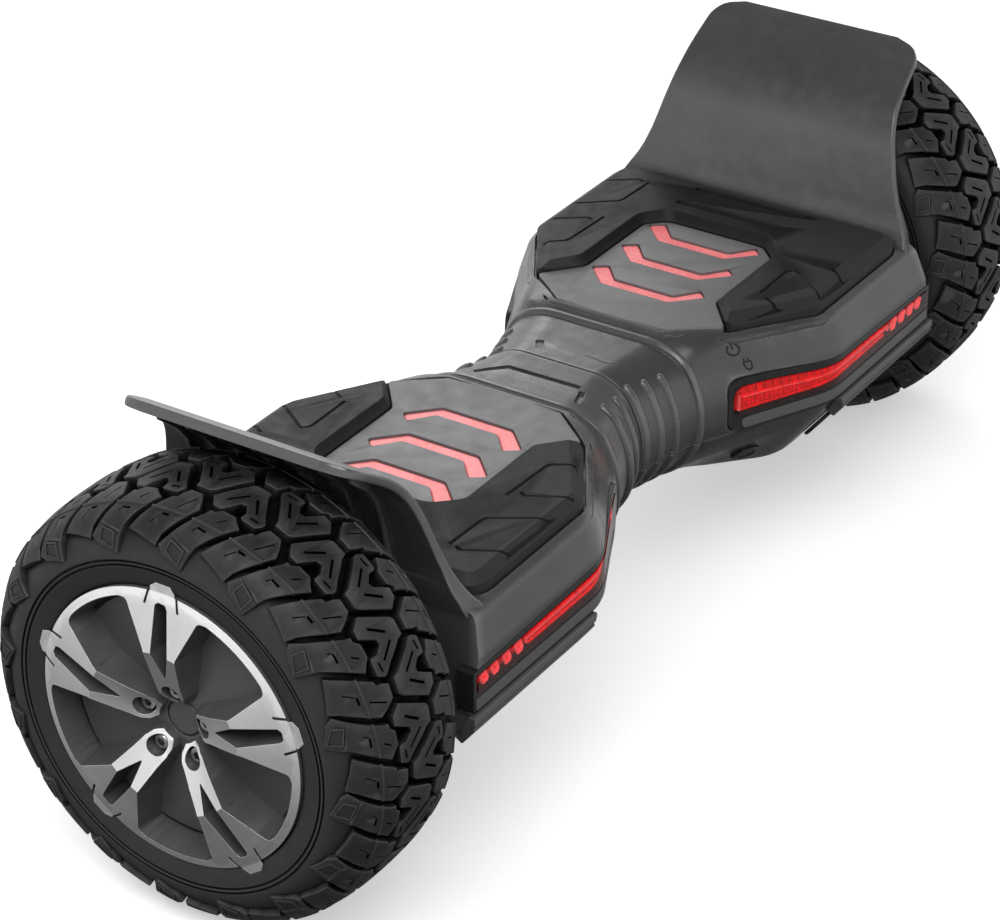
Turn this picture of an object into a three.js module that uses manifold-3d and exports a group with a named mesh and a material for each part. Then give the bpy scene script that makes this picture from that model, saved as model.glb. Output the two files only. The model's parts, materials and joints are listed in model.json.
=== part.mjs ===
// Self balancing hoverboard: two footboards joined by a pivot, each with a hub motor wheel.
// Millimetres. +X runs along the wheel axles to the rider's right, +Y is forwards, +Z is up.
// The origin is on the ground, below the centre of the pivot between the halves. Pieces are drawn about
// the line of the wheel axles and the whole is lifted onto its wheels at the end.
// Each half is drawn as the right one; the left half is the same design turned half round about Z.
import * as THREE from "three";
import { mergeVertices } from "three/addons/utils/BufferGeometryUtils.js";
import Module from "manifold-3d";

// Driving dimensions
const tyreRadius = 108; // an 8.5 inch wheel
const tyreInner = 241; // X of the tyre's inboard side
const tyreOuter = 325; // X of the tyre's outboard side
const bead = 71; // radius of the hole in the tyre
const wall = 3; // thickness of the plastic shells
const gap = 0.3; // clearance between neighbouring pieces
const running = 0.09; // radial clearance where one piece turns on another
const splitHalf = 0.6; // half the gap between the two footboards at the pivot
const seam = -12.5; // Z where the top and bottom shells meet
const pocketFloor = 31.5; // Z of the floor of the deck pocket
const panelTop = 41; // Z of the deck panel's walking face
const matTop = 46; // Z of the crown of the rubber foot mat
const matHollowTop = 37.5; // Z of the roof of the hollow under the mat
const axleRadius = 8;
const axleFlat = 6.8; // half the height of the axle's flats
const tubeRadius = 19; // pivot tube
const bushRadius = 22.7; // pivot bush
const cleatRadius = 3.5; // posts that carry the circuit boards
const buttonHole = 8;
const portHole = 9.8;
const fenderHalf = 89; // half the width of the fender at its root
const boltCircle = 17; // radius of the circle of the wheel cover's bolts
const boltHole = 2.7;
const coverRim = 322.5; // X of the outer ring of the wheel cover
const coverCrest = 328; // X of the crease across each spoke, the outermost point of the board
const firstSpoke = 90; // degrees from +Y, towards +Z
const spokeCount = 5;
const statorTeeth = 12;

// Half outlines [y, z] of the body along X: deck edge, shoulder, waist, hem, flank and keel.
const neckEnd = { x: splitHalf, half: [[27, 36], [40, 29], [49.5, 10], [49.5, -11], [40, -28], [24, -37]] };
const neckRoot = { x: 40, half: [[34, 37], [50, 30], [59, 11], [59, -12], [48, -29], [28, -41]] };
const deckStart = { x: 51, half: [[35, 41], [48, 37], [64, 15], [64, -13], [53, -30], [31, -45]] };
const deckCorner = { x: 70, half: [[53, 41], [60, 38], [74, 15], [73.5, -13], [62, -29], [38, -49]] };
const fullWidth = { x: 116, half: [[60, 41], [91, 35.5], [97, 15], [95.5, -13], [88, -25], [64, -57]] };
const wheelEnd = {
  x: [217, 217, 222, 227, 230, 231],
  half: [[60, 41], [91, 34.5], [96.5, 14], [95.5, -14], [88, -26], [64, -57]],
};
const stations = [neckEnd, neckRoot, deckStart, deckCorner, fullWidth, wheelEnd];

// Plan outlines [x, y] of the deck, for y above 0 and mirrored below by bothSides().
const pocketHalf = [[50, 33], [69, 58], [116, 86.5], [210, 86.5]];
const panelHalf = [[50.6, 32.6], [69.5, 56.5], [91, 39], [150, 39], [160, 29]];
const matHalf = [[70.4, 58], [116, 85.8], [209.4, 85.8]];
const matNotch = [[161.3, 29.6], [150.6, 40.4], [91.6, 40.4]];
const hollowHalf = [[78, 58], [119, 80], [204, 80]];
const hollowNotch = [[166, 33], [152.5, 45], [92, 45]];

const palette = {
  shell: [0x4a4b4d, 0.38, 0.35],
  trim: [0x0b0b0c, 0.35, 0],
  rubber: [0x1b1b1c, 0.8, 0],
  tailLens: [0xd4101c, 0.12, 0],
  headLens: [0xe8eef4, 0.12, 0],
  lightGuide: [0xff9a9c, 0.35, 0],
  castAlloy: [0xa9abae, 0.5, 0.9],
  machined: [0xc9cacc, 0.25, 0.9],
  steel: [0x8c8f93, 0.35, 1],
  winding: [0xa8592a, 0.45, 0.7],
  board: [0x1d5a37, 0.55, 0],
  cell: [0x26456b, 0.6, 0],
};

const wasm = await Module();
wasm.setup();

// ---- Solids from three.js geometries ----

function solidOf(geometry) {
  const bare = geometry.index ? geometry.toNonIndexed() : geometry.clone();
  for (const name of Object.keys(bare.attributes)) {
    if (name !== "position") bare.deleteAttribute(name);
  }
  const merged = mergeVertices(bare, 1e-4);
  const triVerts = new Uint32Array(merged.index.array);
  const vertProperties = merged.attributes.position.array;
  const made = new wasm.Manifold(new wasm.Mesh({ numProp: 3, vertProperties, triVerts }));
  if (made.volume() >= 0) return made;
  for (let i = 0; i < triVerts.length; i += 3) {
    [triVerts[i + 1], triVerts[i + 2]] = [triVerts[i + 2], triVerts[i + 1]];
  }
  return new wasm.Manifold(new wasm.Mesh({ numProp: 3, vertProperties, triVerts }));
}

function meshOf(name, solid, finish) {
  const { numProp, vertProperties, triVerts } = solid.getMesh();
  const positions = new Float32Array((vertProperties.length / numProp) * 3);
  for (let i = 0; i < positions.length / 3; i++) {
    positions.set(vertProperties.subarray(i * numProp, i * numProp + 3), i * 3);
  }
  const geometry = new THREE.BufferGeometry();
  geometry.setAttribute("position", new THREE.BufferAttribute(positions, 3));
  geometry.setIndex(new THREE.BufferAttribute(triVerts, 1));
  geometry.computeVertexNormals();
  const [color, roughness, metalness] = palette[finish];
  const mesh = new THREE.Mesh(geometry, new THREE.MeshStandardMaterial({ color, roughness, metalness }));
  mesh.name = name;
  return mesh;
}

function extruded(points, depth) {
  const shape = new THREE.Shape(points.map(([u, v]) => new THREE.Vector2(u, v)));
  return new THREE.ExtrudeGeometry(shape, { depth, bevelEnabled: false });
}

// A plan outline [x, y] raised from z0 to z1.
function plate(points, z0, z1) {
  return solidOf(extruded(points, z1 - z0).translate(0, 0, z0));
}

// An outline [y, z] carried along X from x0 to x1.
function bar(points, x0, x1) {
  const turn = new THREE.Matrix4().makeBasis(
    new THREE.Vector3(0, 1, 0),
    new THREE.Vector3(0, 0, 1),
    new THREE.Vector3(1, 0, 0),
  );
  return solidOf(extruded(points, x1 - x0).applyMatrix4(turn).translate(x0, 0, 0));
}

// A side outline [x, z] carried along Y from y0 to y1.
function slab(points, y0, y1) {
  return solidOf(extruded(points, y1 - y0).rotateX(Math.PI / 2).translate(0, y1, 0));
}

function block([x0, x1], [y0, y1], [z0, z1]) {
  const box = new THREE.BoxGeometry(x1 - x0, y1 - y0, z1 - z0);
  return solidOf(box.translate((x0 + x1) / 2, (y0 + y1) / 2, (z0 + z1) / 2));
}

// A profile [radius, x] turned about the X axis.
function turned(profile, segments) {
  const points = profile.map(([r, x]) => new THREE.Vector2(r, x));
  return solidOf(new THREE.LatheGeometry(points, segments).rotateZ(-Math.PI / 2));
}

// A round pin from one point to another.
function pin(radius, from, to, segments = 16) {
  const start = new THREE.Vector3(...from);
  const along = new THREE.Vector3(...to).sub(start);
  const length = along.length();
  const place = new THREE.Matrix4().compose(
    start.clone().addScaledVector(along, 0.5),
    new THREE.Quaternion().setFromUnitVectors(new THREE.Vector3(0, 1, 0), along.normalize()),
    new THREE.Vector3(1, 1, 1),
  );
  return solidOf(new THREE.CylinderGeometry(radius, radius, length, segments).applyMatrix4(place));
}

// Skins a row of sections, each the same number of points [x, y, z] in the same order.
function loft(sections) {
  const count = sections[0].length;
  const corners = sections.flat();
  const faces = [];
  for (let s = 0; s + 1 < sections.length; s++) {
    for (let i = 0; i < count; i++) {
      const a = s * count + i;
      const b = s * count + ((i + 1) % count);
      faces.push(a, b, b + count, a, b + count, a + count);
    }
  }
  const last = (sections.length - 1) * count;
  for (let i = 1; i + 1 < count; i++) {
    faces.push(0, i + 1, i, last, last + i, last + i + 1);
  }
  const geometry = new THREE.BufferGeometry();
  geometry.setAttribute("position", new THREE.Float32BufferAttribute(corners.flat(), 3));
  geometry.setIndex(faces);
  return solidOf(geometry);
}

const joined = (solids) => solids.reduce((a, b) => a.add(b));
const bothSides = (half) => [...half.map(([x, y]) => [x, -y]), ...half.toReversed()];

// ---- Footboard ----

function sectionAt({ x, half }, shape, xOf) {
  const ring = half.map((p, i) => [xOf(Array.isArray(x) ? x[i] : x), ...shape(p)]);
  return [...ring, ...ring.toReversed().map(([px, y, z]) => [px, -y, z])];
}

const bodySolid = () => loft(stations.map((s) => sectionAt(s, (p) => p, (x) => x)));

// The room inside the shells: open at the neck, closed by an end wall at the wheel.
function cavitySolid() {
  const ceiling = pocketFloor - wall;
  const inset = ([y, z]) => [y - wall, Math.min(z - Math.sign(z) * wall, ceiling)];
  const sections = stations.map((s) => sectionAt(s, inset, (x) => (x > 200 ? x - wall - 1 : x)));
  const mouth = sections[0].map(([, y, z]) => [-splitHalf, y, z]);
  return loft([mouth, ...sections.slice(1)]);
}

function fenderSolid() {
  const inside = [[212, 30], [216, 58], [220, 80], [227, 96], [238, 107], [257, 118.5], [270.5, 126.8]];
  const outside = [[273, 123], [259.5, 114.6], [240.6, 103], [231, 93], [224.6, 79], [220.8, 57], [217.6, 30]];
  const edge = [[fenderHalf, 29], [80.5, 52], [74, 72], [69, 90], [66.5, 103], [64, 118], [52, 127.5]];
  const outline = bothSides(edge.map(([y, z]) => [z, y])).map(([z, y]) => [y, z]);
  return slab([...inside, ...outside], -95, 95).intersect(bar(outline, 200, 280));
}

// The band that a light takes up on one side, between an outer path and one set back by depth.
function lightBand(side, { start, end, depth, recess, swell = 0 }) {
  const outer = [[start, 69 - recess], [116, 98.2 - recess], [end, 98.2 - recess]];
  const inner = [[end, 98.2 - depth], [118, 98.2 - depth], [start, 68.6 - depth]];
  const band = [...outer.map(([x, y]) => [x, y + swell]), ...inner];
  return band.map(([x, y]) => [x, side * y]);
}

// The height of a light along X: level below, falling towards the wheel above.
function lightHeight(start, end, bottom, [atPivot, atCorner, atWheel]) {
  const outline = [[start, bottom], [end, bottom], [end, atWheel], [116, atCorner], [start, atPivot]];
  return slab(outline, -110, 110);
}

// The room a bezel or a lens takes up. With clearance it becomes the cutter for the piece around it,
// and runs out past the body's side.
function bezelSpace(side, clearance = 0) {
  const band = { start: 56 - clearance, end: 226 + clearance, depth: 9 + clearance, recess: 0 };
  const past = clearance > 0 ? 9 : 0;
  const height = lightHeight(50, 230, seam - clearance, [18.5, 13, 9.6].map((z) => z + clearance));
  return plate(lightBand(side, { ...band, swell: past }), seam - 5, 30).intersect(height);
}

function lensSpace(side, clearance = 0) {
  const band = { start: 59 - clearance, end: 223 + clearance, depth: 5 + clearance };
  const height = lightHeight(50, 230, -2.5 - clearance, [14, 8, 6].map((z) => z + clearance));
  return plate(lightBand(side, { ...band, recess: clearance > 0 ? -2 : 0.8 }), -20, 30).intersect(height);
}

const bezel = (side) => bezelSpace(side).subtract(lensSpace(side, gap));

// A moulded strip along the hem of the bottom shell.
function bumperStrip(side) {
  const profile = [[96, -13.3], [98.3, -13.3], [98.3, -17.5], [91.5, -26.8], [88.6, -25.6]];
  const strip = bar(profile.map(([y, z]) => [side * y, z]), 124, 228);
  return strip.subtract(bodyClearance());
}

// The body grown by the gap, to trim what lies against it.
function bodyClearance() {
  const grown = ([y, z]) => [y + gap, z + Math.sign(z) * gap];
  return loft(stations.map((s) => sectionAt(s, grown, (x) => x)));
}

// The bracket shaped light slots in the deck panel.
const chevrons = [77.5, 107.5, 136.5];
const chevron = (x0, shrink) => [
  [x0 + shrink, -18], [x0 + 15 + shrink, -31 + shrink], [x0 + 20 - shrink, -26.5], [x0 + 7.5 - shrink, -17],
  [x0 + 7.5 - shrink, 19], [x0 + 19.5 - shrink, 29.5], [x0 + 14.5, 36 - shrink], [x0 + shrink, 21],
];

function deckPanel() {
  const slots = chevrons.map((x0) => plate(chevron(x0, 0), 30, 50));
  return plate(bothSides(panelHalf), pocketFloor + 4.6, panelTop).subtract(joined(slots));
}

function lightGuide() {
  const base = bothSides(panelHalf.map(([x, y]) => [x < 60 ? x + 2 : x - 2, y - 2.5]));
  const ribs = chevrons.map((x0) => plate(chevron(x0, gap), pocketFloor + 2, panelTop - 0.8));
  return joined([plate(base, pocketFloor + gap, pocketFloor + 4.3), ...ribs]);
}

// A U shape open towards the pivot, from the halves of its outer and inner edges.
const horseshoe = (outer, inner) => [...bothSides(outer).toReversed(), ...bothSides(inner.toReversed())];

function footMat() {
  const crown = bothSides([[37, 85.8], [42.5, 77], [matTop, 46]]).map(([z, y]) => [y, z]);
  const fall = [[60, 30], [212, 30], [212, 41], [196, matTop - 1.5], [60, matTop]];
  const across = bar([[-85.8, 30], ...crown, [85.8, 30]], 50, 215);
  return plate(horseshoe(matHalf, matNotch), pocketFloor + gap, 60)
    .intersect(across)
    .intersect(slab(fall, -90, 90))
    .subtract(plate(horseshoe(hollowHalf, hollowNotch), 30, matHollowTop));
}

const plungerPlace = [118, 62];

function footPlunger(side) {
  const [x, y] = plungerPlace;
  const stem = pin(5, [x, side * y, 17.4], [x, side * y, matHollowTop - gap], 12);
  return stem.add(pin(7.5, [x, side * y, 23], [x, side * y, 25.5], 12));
}

// Power button and charge socket sit on the rear flank of the bottom shell.
const buttonPlace = new THREE.Vector3(90, -60, -41.5);
const buttonNormal = new THREE.Vector3(-0.38, -0.66, -0.647).normalize();
const portPlace = new THREE.Vector3(142, -76, -41);
const portNormal = new THREE.Vector3(0, -0.791, -0.612).normalize();
const portUp = new THREE.Vector3(0, -0.612, 0.791);

const out = (place, normal, by) => place.clone().addScaledVector(normal, by).toArray();

const powerButton = () =>
  pin(7.6, out(buttonPlace, buttonNormal, -7), out(buttonPlace, buttonNormal, 1.6)).add(
    pin(9.6, out(buttonPlace, buttonNormal, -9), out(buttonPlace, buttonNormal, -6)),
  );

function chargeSocket() {
  const body = pin(9.4, out(portPlace, portNormal, -15), out(portPlace, portNormal, 0.2));
  return body.subtract(pin(6, out(portPlace, portNormal, -10), out(portPlace, portNormal, 2), 20));
}

function chargeCap() {
  const hinge = portPlace.clone().addScaledVector(portUp, 13.5).addScaledVector(portNormal, 1.9);
  const disc = pin(10.8, out(portPlace, portNormal, 0.7), out(portPlace, portNormal, 2.7));
  const ends = [-5, 5].map((dx) => hinge.clone().add(new THREE.Vector3(dx, 0, 0)).toArray());
  const tab = new THREE.BoxGeometry(8, 6, 2);
  const turn = new THREE.Matrix4().makeBasis(new THREE.Vector3(1, 0, 0), portUp, portNormal);
  const centre = portPlace.clone().addScaledVector(portUp, 11).addScaledVector(portNormal, 1.7);
  tab.applyMatrix4(turn.setPosition(centre));
  return joined([disc, solidOf(tab), pin(1.2, ends[0], ends[1], 12)]);
}

function topShell() {
  let shell = bodySolid().subtract(cavitySolid()).subtract(plate(bothSides(pocketHalf), pocketFloor, 60));
  shell = shell.intersect(block([-10, 300], [-120, 120], [seam + gap / 2, 60])).add(fenderSolid());
  for (const y of [-1, 1]) {
    const [px, py] = plungerPlace;
    shell = shell.subtract(bezelSpace(y, gap)).subtract(pin(5.5, [px, y * py, 20], [px, y * py, 40], 14));
  }
  const axleSlot = block([200, 240], [-11, 11], [-20, 0]).add(pin(11, [200, 0, 0], [240, 0, 0]));
  return shell.subtract(axleSlot);
}

function bottomShell(side) {
  let shell = bodySolid().subtract(cavitySolid());
  shell = shell.intersect(block([-10, 300], [-120, 120], [-80, seam - gap / 2]));
  // Cleats carry the battery in the right half and the main board in the left.
  const standTop = side === "right" ? -49.3 : -46.3;
  for (const x of [112, 190]) {
    for (const y of [-30, 30]) {
      shell = shell.add(pin(cleatRadius, [x, y, -55], [x, y, standTop], 8));
    }
  }
  if (side === "right") {
    shell = shell
      .subtract(pin(buttonHole, out(buttonPlace, buttonNormal, -8), out(buttonPlace, buttonNormal, 8)))
      .subtract(pin(portHole, out(portPlace, portNormal, -8), out(portPlace, portNormal, 8)));
  }
  return shell;
}

// Cast frame: a sleeve for the pivot, a floor, posts for the sensor board and a clamp for the axle.
function frame(side) {
  const floor = [[24, 24], [64, 42], [84, 50], [204, 50]];
  const boreRadius = side === "right" ? bushRadius + gap : tubeRadius + gap;
  const post = (x, y) => pin(cleatRadius, [x, y, -14], [x, y, 12.7], 8);
  const posts = [105, 131].flatMap((x) => [post(x, -30), post(x, 30)]);
  const cast = joined([
    pin(28, [8, 0, 0], [58, 0, 0], 28),
    plate(bothSides(floor), -18, -13),
    block([186, 214], [-24, 24], [-20, 20]),
    block([66, 188], [-4, 4], [-14, 5]),
    ...posts,
  ]);
  const axleHole = pin(axleRadius + gap, [180, 0, 0], [220, 0, 0], 20).intersect(
    block([180, 220], [-10, 10], [-axleFlat - gap, axleFlat + gap]),
  );
  const collarRoom = pin(27, [58, 0, 0], [66, 0, 0], 20);
  const bore = pin(boreRadius, [0, 0, 0], [60, 0, 0], 28);
  return cast.subtract(joined([bore, collarRoom, axleHole]));
}

const ring = (inner, outer, x0, x1, segments = 40) =>
  turned([[inner, x0], [outer, x0], [outer, x1], [inner, x1], [inner, x0]], segments);

const pivotTube = () => ring(tubeRadius - 4, tubeRadius, -56, 64);
const pivotBush = () => ring(tubeRadius + running, bushRadius, 7, 57);
const pivotCollar = () => ring(tubeRadius + gap, 26, 58.8, 63.5, 28);

function sensorBoard() {
  const pcb = block([100, 136], [-70, 70], [13, 14.6]);
  const chips = [-14, 14].map((y) => block([112, 122], [y - 6, y + 6], [14.5, 17]));
  return joined([pcb, ...chips]);
}

function mainBoard() {
  const pcb = block([98, 200], [-38, 38], [-46, -44.2]);
  const sink = block([150, 194], [-34, -14], [-44.5, -26]);
  const caps = [[112, 20], [128, 20], [120, -20]].map(([x, y]) => pin(7, [x, y, -44.5], [x, y, -24], 16));
  return joined([pcb, sink, ...caps]);
}

const batteryPack = () => block([94, 184], [-38, 38], [-49, -19]);

// ---- Wheel ----

function tyre() {
  const side = [[bead, 5], [82, 0.6], [92, 0], [100, 5], [104.5, 12], [tyreRadius, 25]];
  const width = tyreOuter - tyreInner;
  const inboard = side.map(([r, x]) => [r, tyreInner + x]);
  const outboard = side.toReversed().map(([r, x]) => [r, tyreInner + width - x]);
  return turned([...inboard, ...outboard, inboard[0]], 40);
}

const boltAngles = Array.from({ length: spokeCount }, (_, i) =>
  THREE.MathUtils.degToRad(firstSpoke + (i * 360) / spokeCount),
);
const onBoltCircle = (angle) => [boltCircle * Math.cos(angle), boltCircle * Math.sin(angle)];

// Drills the ring of bolt holes outwards from x.
function boltHoles(solid, radius, x, segments) {
  return boltAngles.reduce((left, angle) => {
    const [y, z] = onBoltCircle(angle);
    return left.subtract(pin(radius, [x, y, z], [335, y, z], segments));
  }, solid);
}

// Motor can and rim in one: a drum open inboard, with a boss that runs on the axle.
function wheelRim() {
  const bore = axleRadius + running;
  const drum = turned(
    [
      [0, 298.5], [bore, 298.5], [bore, 285], [23, 285], [26, 294], [62, 294], [63.5, 292], [63.5, 247],
      [bead - gap, 247], [bead - gap, 317.5], [67, 317.5], [65, 303.5], [0, 303.5],
    ],
    60,
  );
  return boltHoles(drum, boltHole, 296, 8);
}

// Dished cover with split spokes that bulge to a crease and fall back to the ring.
function wheelCover() {
  const ringRadius = bead - 0.5;
  const dish = turned(
    [
      [0, 306], [60, 304.5], [66.5, 318], [ringRadius, 318], [ringRadius, coverRim], [63.5, coverRim],
      [60, 311], [24, 311.5], [0, 311.5],
    ],
    32,
  );
  const spoke = [
    [-9, 11], [9, 11], [9, 24], [9, 41], [17, 60], [10, 68],
    [-10, 68], [-17, 60], [-9, 41], [-9, 24],
  ];
  const slot = [[-1, 28], [1, 28], [4.5, 41], [3.5, 57], [-3.5, 57], [-4.5, 41]];
  const face = [
    [306.5, 0], [313, 0], [320.8, 17], [324.4, 28], [coverCrest, 41.2], [324, 66], [coverRim, 75],
    [318, 75], [318, 64], [306.5, 58],
  ];
  const arm = bar(spoke, 305.5, 330).intersect(slab(face, -20, 20)).subtract(bar(slot, 312, 330));
  const arms = boltAngles.map((angle) => arm.rotate([THREE.MathUtils.radToDeg(angle) - 90, 0, 0]));
  const cover = joined([dish, ...arms]).intersect(pin(ringRadius, [300, 0, 0], [330, 0, 0], 48));
  return boltHoles(boltHoles(cover, 5, 313, 12), boltHole, 296, 8);
}

function coverBolt(angle) {
  const [y, z] = onBoltCircle(angle);
  const head = pin(4.2, [313.2, y, z], [317.5, y, z], 10);
  const socket = pin(2.1, [315, y, z], [320, y, z], 6);
  return head.add(pin(2.4, [299, y, z], [314, y, z], 8)).subtract(socket);
}

// The inboard lid of the motor, which runs on the axle.
function motorCover() {
  const bore = axleRadius + running;
  return turned(
    [
      [bore, 245], [20, 245], [23, 248], [63.2, 248], [63.2, 252],
      [24, 253], [20, 257], [bore, 257], [bore, 245],
    ],
    32,
  );
}

// Laminations with one tooth after another, each given as [radius, share of a tooth pitch].
function stator() {
  const tooth = [
    [44, 0.23], [54, 0.23], [55, 0.1], [60.5, 0.1],
    [60.5, 0.9], [55, 0.9], [54, 0.77], [44, 0.77],
  ];
  const pitch = (2 * Math.PI) / statorTeeth;
  const outline = Array.from({ length: statorTeeth }, (_, i) => i).flatMap((i) =>
    tooth.map(([r, share]) => [r * Math.cos((i + share) * pitch), r * Math.sin((i + share) * pitch)]),
  );
  return bar(outline, 259, 282).subtract(pin(axleRadius + gap, [250, 0, 0], [290, 0, 0], 20));
}

function axle() {
  const shaft = pin(axleRadius, [189, 0, 0], [298, 0, 0], 32);
  const flattened = block([180, 236], [-10, 10], [-axleFlat, axleFlat]);
  const round = block([236, 300], [-10, 10], [-10, 10]);
  return shaft.intersect(flattened.add(round));
}

// ---- Assembly ----

function footboard(side) {
  const half = new THREE.Group();
  const add = (name, solid, finish) => half.add(meshOf(`${side}_${name}`, solid, finish));
  const ends = side === "right" ? { "-1": "rear", 1: "front" } : { "-1": "front", 1: "rear" };
  add("top_shell", topShell(), "shell");
  add("bottom_shell", bottomShell(side), "shell");
  add("deck_panel", deckPanel(), "shell");
  add("deck_light_guide", lightGuide(), "lightGuide");
  add("foot_mat", footMat(), "rubber");
  add("frame", frame(side), "castAlloy");
  add("sensor_board", sensorBoard(), "board");
  for (const y of [-1, 1]) {
    const end = ends[y];
    add(`${end}_light_bezel`, bezel(y), "trim");
    add(`${end}_light_lens`, lensSpace(y), end === "rear" ? "tailLens" : "headLens");
    add(`${end}_bumper_strip`, bumperStrip(y), "shell");
    add(`${end}_foot_plunger`, footPlunger(y), "rubber");
  }
  return half;
}

function wheel(side) {
  const group = new THREE.Group();
  const add = (name, solid, finish) => group.add(meshOf(`${side}_${name}`, solid, finish));
  add("tyre", tyre(), "rubber");
  add("wheel_rim", wheelRim(), "castAlloy");
  add("wheel_cover", wheelCover(), "machined");
  add("motor_cover", motorCover(), "castAlloy");
  add("motor_stator", stator(), "winding");
  add("axle", axle(), "steel");
  boltAngles.forEach((angle, i) => add(`wheel_bolt_${i + 1}`, coverBolt(angle), "steel"));
  return group;
}

const hoverboard = new THREE.Group();
for (const side of ["right", "left"]) {
  const half = new THREE.Group();
  half.add(footboard(side), wheel(side));
  half.rotation.z = side === "left" ? Math.PI : 0;
  hoverboard.add(half);
}
hoverboard.add(meshOf("pivot_tube", pivotTube(), "steel"));
hoverboard.add(meshOf("pivot_bush", pivotBush(), "machined"));
hoverboard.add(meshOf("pivot_collar", pivotCollar(), "steel"));
hoverboard.add(meshOf("battery_pack", batteryPack(), "cell"));
hoverboard.add(meshOf("power_button", powerButton(), "trim"));
hoverboard.add(meshOf("charge_socket", chargeSocket(), "trim"));
hoverboard.add(meshOf("charge_cap", chargeCap(), "rubber"));

const mainBoardHolder = new THREE.Group();
mainBoardHolder.rotation.z = Math.PI; // it lies in the left half
mainBoardHolder.add(meshOf("main_board", mainBoard(), "board"));
hoverboard.add(mainBoardHolder);
hoverboard.position.z = tyreRadius;

export default hoverboard;
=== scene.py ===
"""Looks of a self balancing hoverboard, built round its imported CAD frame.

Shapes are written in millimetres for the right half (x > 0) and scaled to metres when they are placed.
The left half is the same design turned half round about Z, so its rear side is the right half's front.
"""

import bpy
import bmesh
import json
import math
import random
import numpy as np
from mathutils import Matrix, Vector
from mathutils.geometry import tessellate_polygon

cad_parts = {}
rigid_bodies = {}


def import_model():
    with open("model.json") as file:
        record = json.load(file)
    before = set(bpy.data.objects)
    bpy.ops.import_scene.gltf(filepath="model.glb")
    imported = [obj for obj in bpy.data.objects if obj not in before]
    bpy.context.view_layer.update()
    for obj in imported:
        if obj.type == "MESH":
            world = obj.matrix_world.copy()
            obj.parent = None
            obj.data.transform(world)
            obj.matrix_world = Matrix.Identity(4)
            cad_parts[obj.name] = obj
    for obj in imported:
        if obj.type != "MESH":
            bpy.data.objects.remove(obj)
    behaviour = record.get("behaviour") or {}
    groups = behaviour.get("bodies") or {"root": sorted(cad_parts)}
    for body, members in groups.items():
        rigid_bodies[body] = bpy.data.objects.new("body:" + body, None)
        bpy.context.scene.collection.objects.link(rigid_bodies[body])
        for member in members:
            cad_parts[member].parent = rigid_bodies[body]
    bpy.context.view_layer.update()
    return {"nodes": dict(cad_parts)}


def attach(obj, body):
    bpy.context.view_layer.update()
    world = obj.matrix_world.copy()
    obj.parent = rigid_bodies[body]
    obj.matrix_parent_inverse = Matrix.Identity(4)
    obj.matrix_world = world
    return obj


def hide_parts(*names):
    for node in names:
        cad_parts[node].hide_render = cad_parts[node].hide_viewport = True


for starter in list(bpy.data.objects):
    bpy.data.objects.remove(starter)

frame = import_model()
random.seed(7)
scene = bpy.context.scene
MM = 0.001
AXLE_HEIGHT = 108.0
SIDES = ("right", "left")

# ------------------------------------------------------------------ mesh helpers


def new_object(name, verts, faces):
    """A mesh object from points in millimetres, with its faces turned outwards."""
    mesh = bpy.data.meshes.new(name)
    mesh.from_pydata([tuple(map(float, v)) for v in verts], [], [tuple(f) for f in faces])
    obj = bpy.data.objects.new(name, mesh)
    scene.collection.objects.link(obj)
    bm = bmesh.new()
    bm.from_mesh(mesh)
    bmesh.ops.remove_doubles(bm, verts=bm.verts, dist=1e-4)
    bmesh.ops.recalc_face_normals(bm, faces=bm.faces)
    bm.to_mesh(mesh)
    bm.free()
    return obj


def drop(obj):
    mesh = obj.data
    bpy.data.objects.remove(obj)
    if mesh.users == 0:
        bpy.data.meshes.remove(mesh)


def bake_modifiers(obj):
    depsgraph = bpy.context.evaluated_depsgraph_get()
    mesh = bpy.data.meshes.new_from_object(obj.evaluated_get(depsgraph))
    obj.modifiers.clear()
    old = obj.data
    obj.data = mesh
    bpy.data.meshes.remove(old)
    return obj


def boolean(operation, base, *tools):
    for tool in tools:
        modifier = base.modifiers.new("boolean", "BOOLEAN")
        modifier.operation = operation
        modifier.solver = "MANIFOLD"
        modifier.object = tool
        bake_modifiers(base)
        drop(tool)
    return base


def cut(base, *tools):
    return boolean("DIFFERENCE", base, *tools)


def union(base, *tools):
    return boolean("UNION", base, *tools)


def common(base, *tools):
    return boolean("INTERSECT", base, *tools)


def loft(name, rings, closed=False):
    """Skins rings of equal length; the ends are capped unless the rings close on themselves."""
    n = len(rings[0])
    assert all(len(ring) == n for ring in rings), (name, [len(ring) for ring in rings])
    verts = [p for ring in rings for p in ring]
    faces = []
    for s in range(len(rings) - (0 if closed else 1)):
        t = (s + 1) % len(rings)
        for i in range(n):
            j = (i + 1) % n
            faces.append((s * n + i, s * n + j, t * n + j, t * n + i))
    if not closed:
        faces.append(tuple(range(n)))
        faces.append(tuple((len(rings) - 1) * n + i for i in range(n)))
    return new_object(name, verts, faces)


def prism_z(points, z0, z1):
    return loft("prism", [[(x, y, z) for x, y in points] for z in (z0, z1)])


def prism_y(points, y0, y1):
    return loft("prism", [[(x, y, z) for x, z in points] for y in (y0, y1)])


def prism_x(points, x0, x1):
    return loft("prism", [[(x, y, z) for y, z in points] for x in (x0, x1)])


def box(x, y, z):
    return prism_z([(x[0], y[0]), (x[1], y[0]), (x[1], y[1]), (x[0], y[1])], *z)


def lathe(name, profile, segments):
    """A closed profile of (radius, x) turned about X."""
    rings = []
    for k in range(segments):
        a = 2 * math.pi * k / segments
        rings.append([(x, r * math.cos(a), r * math.sin(a)) for r, x in profile])
    return loft(name, rings, closed=True)


def disc(name, profile, segments):
    """An open profile of (radius, x) whose ends lie on the X axis, turned about X."""
    rings = [[(x, r * math.cos(a), r * math.sin(a)) for a in np.arange(segments) * 2 * math.pi / segments]
             for r, x in profile if r > 0]
    return loft(name, rings)


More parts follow.
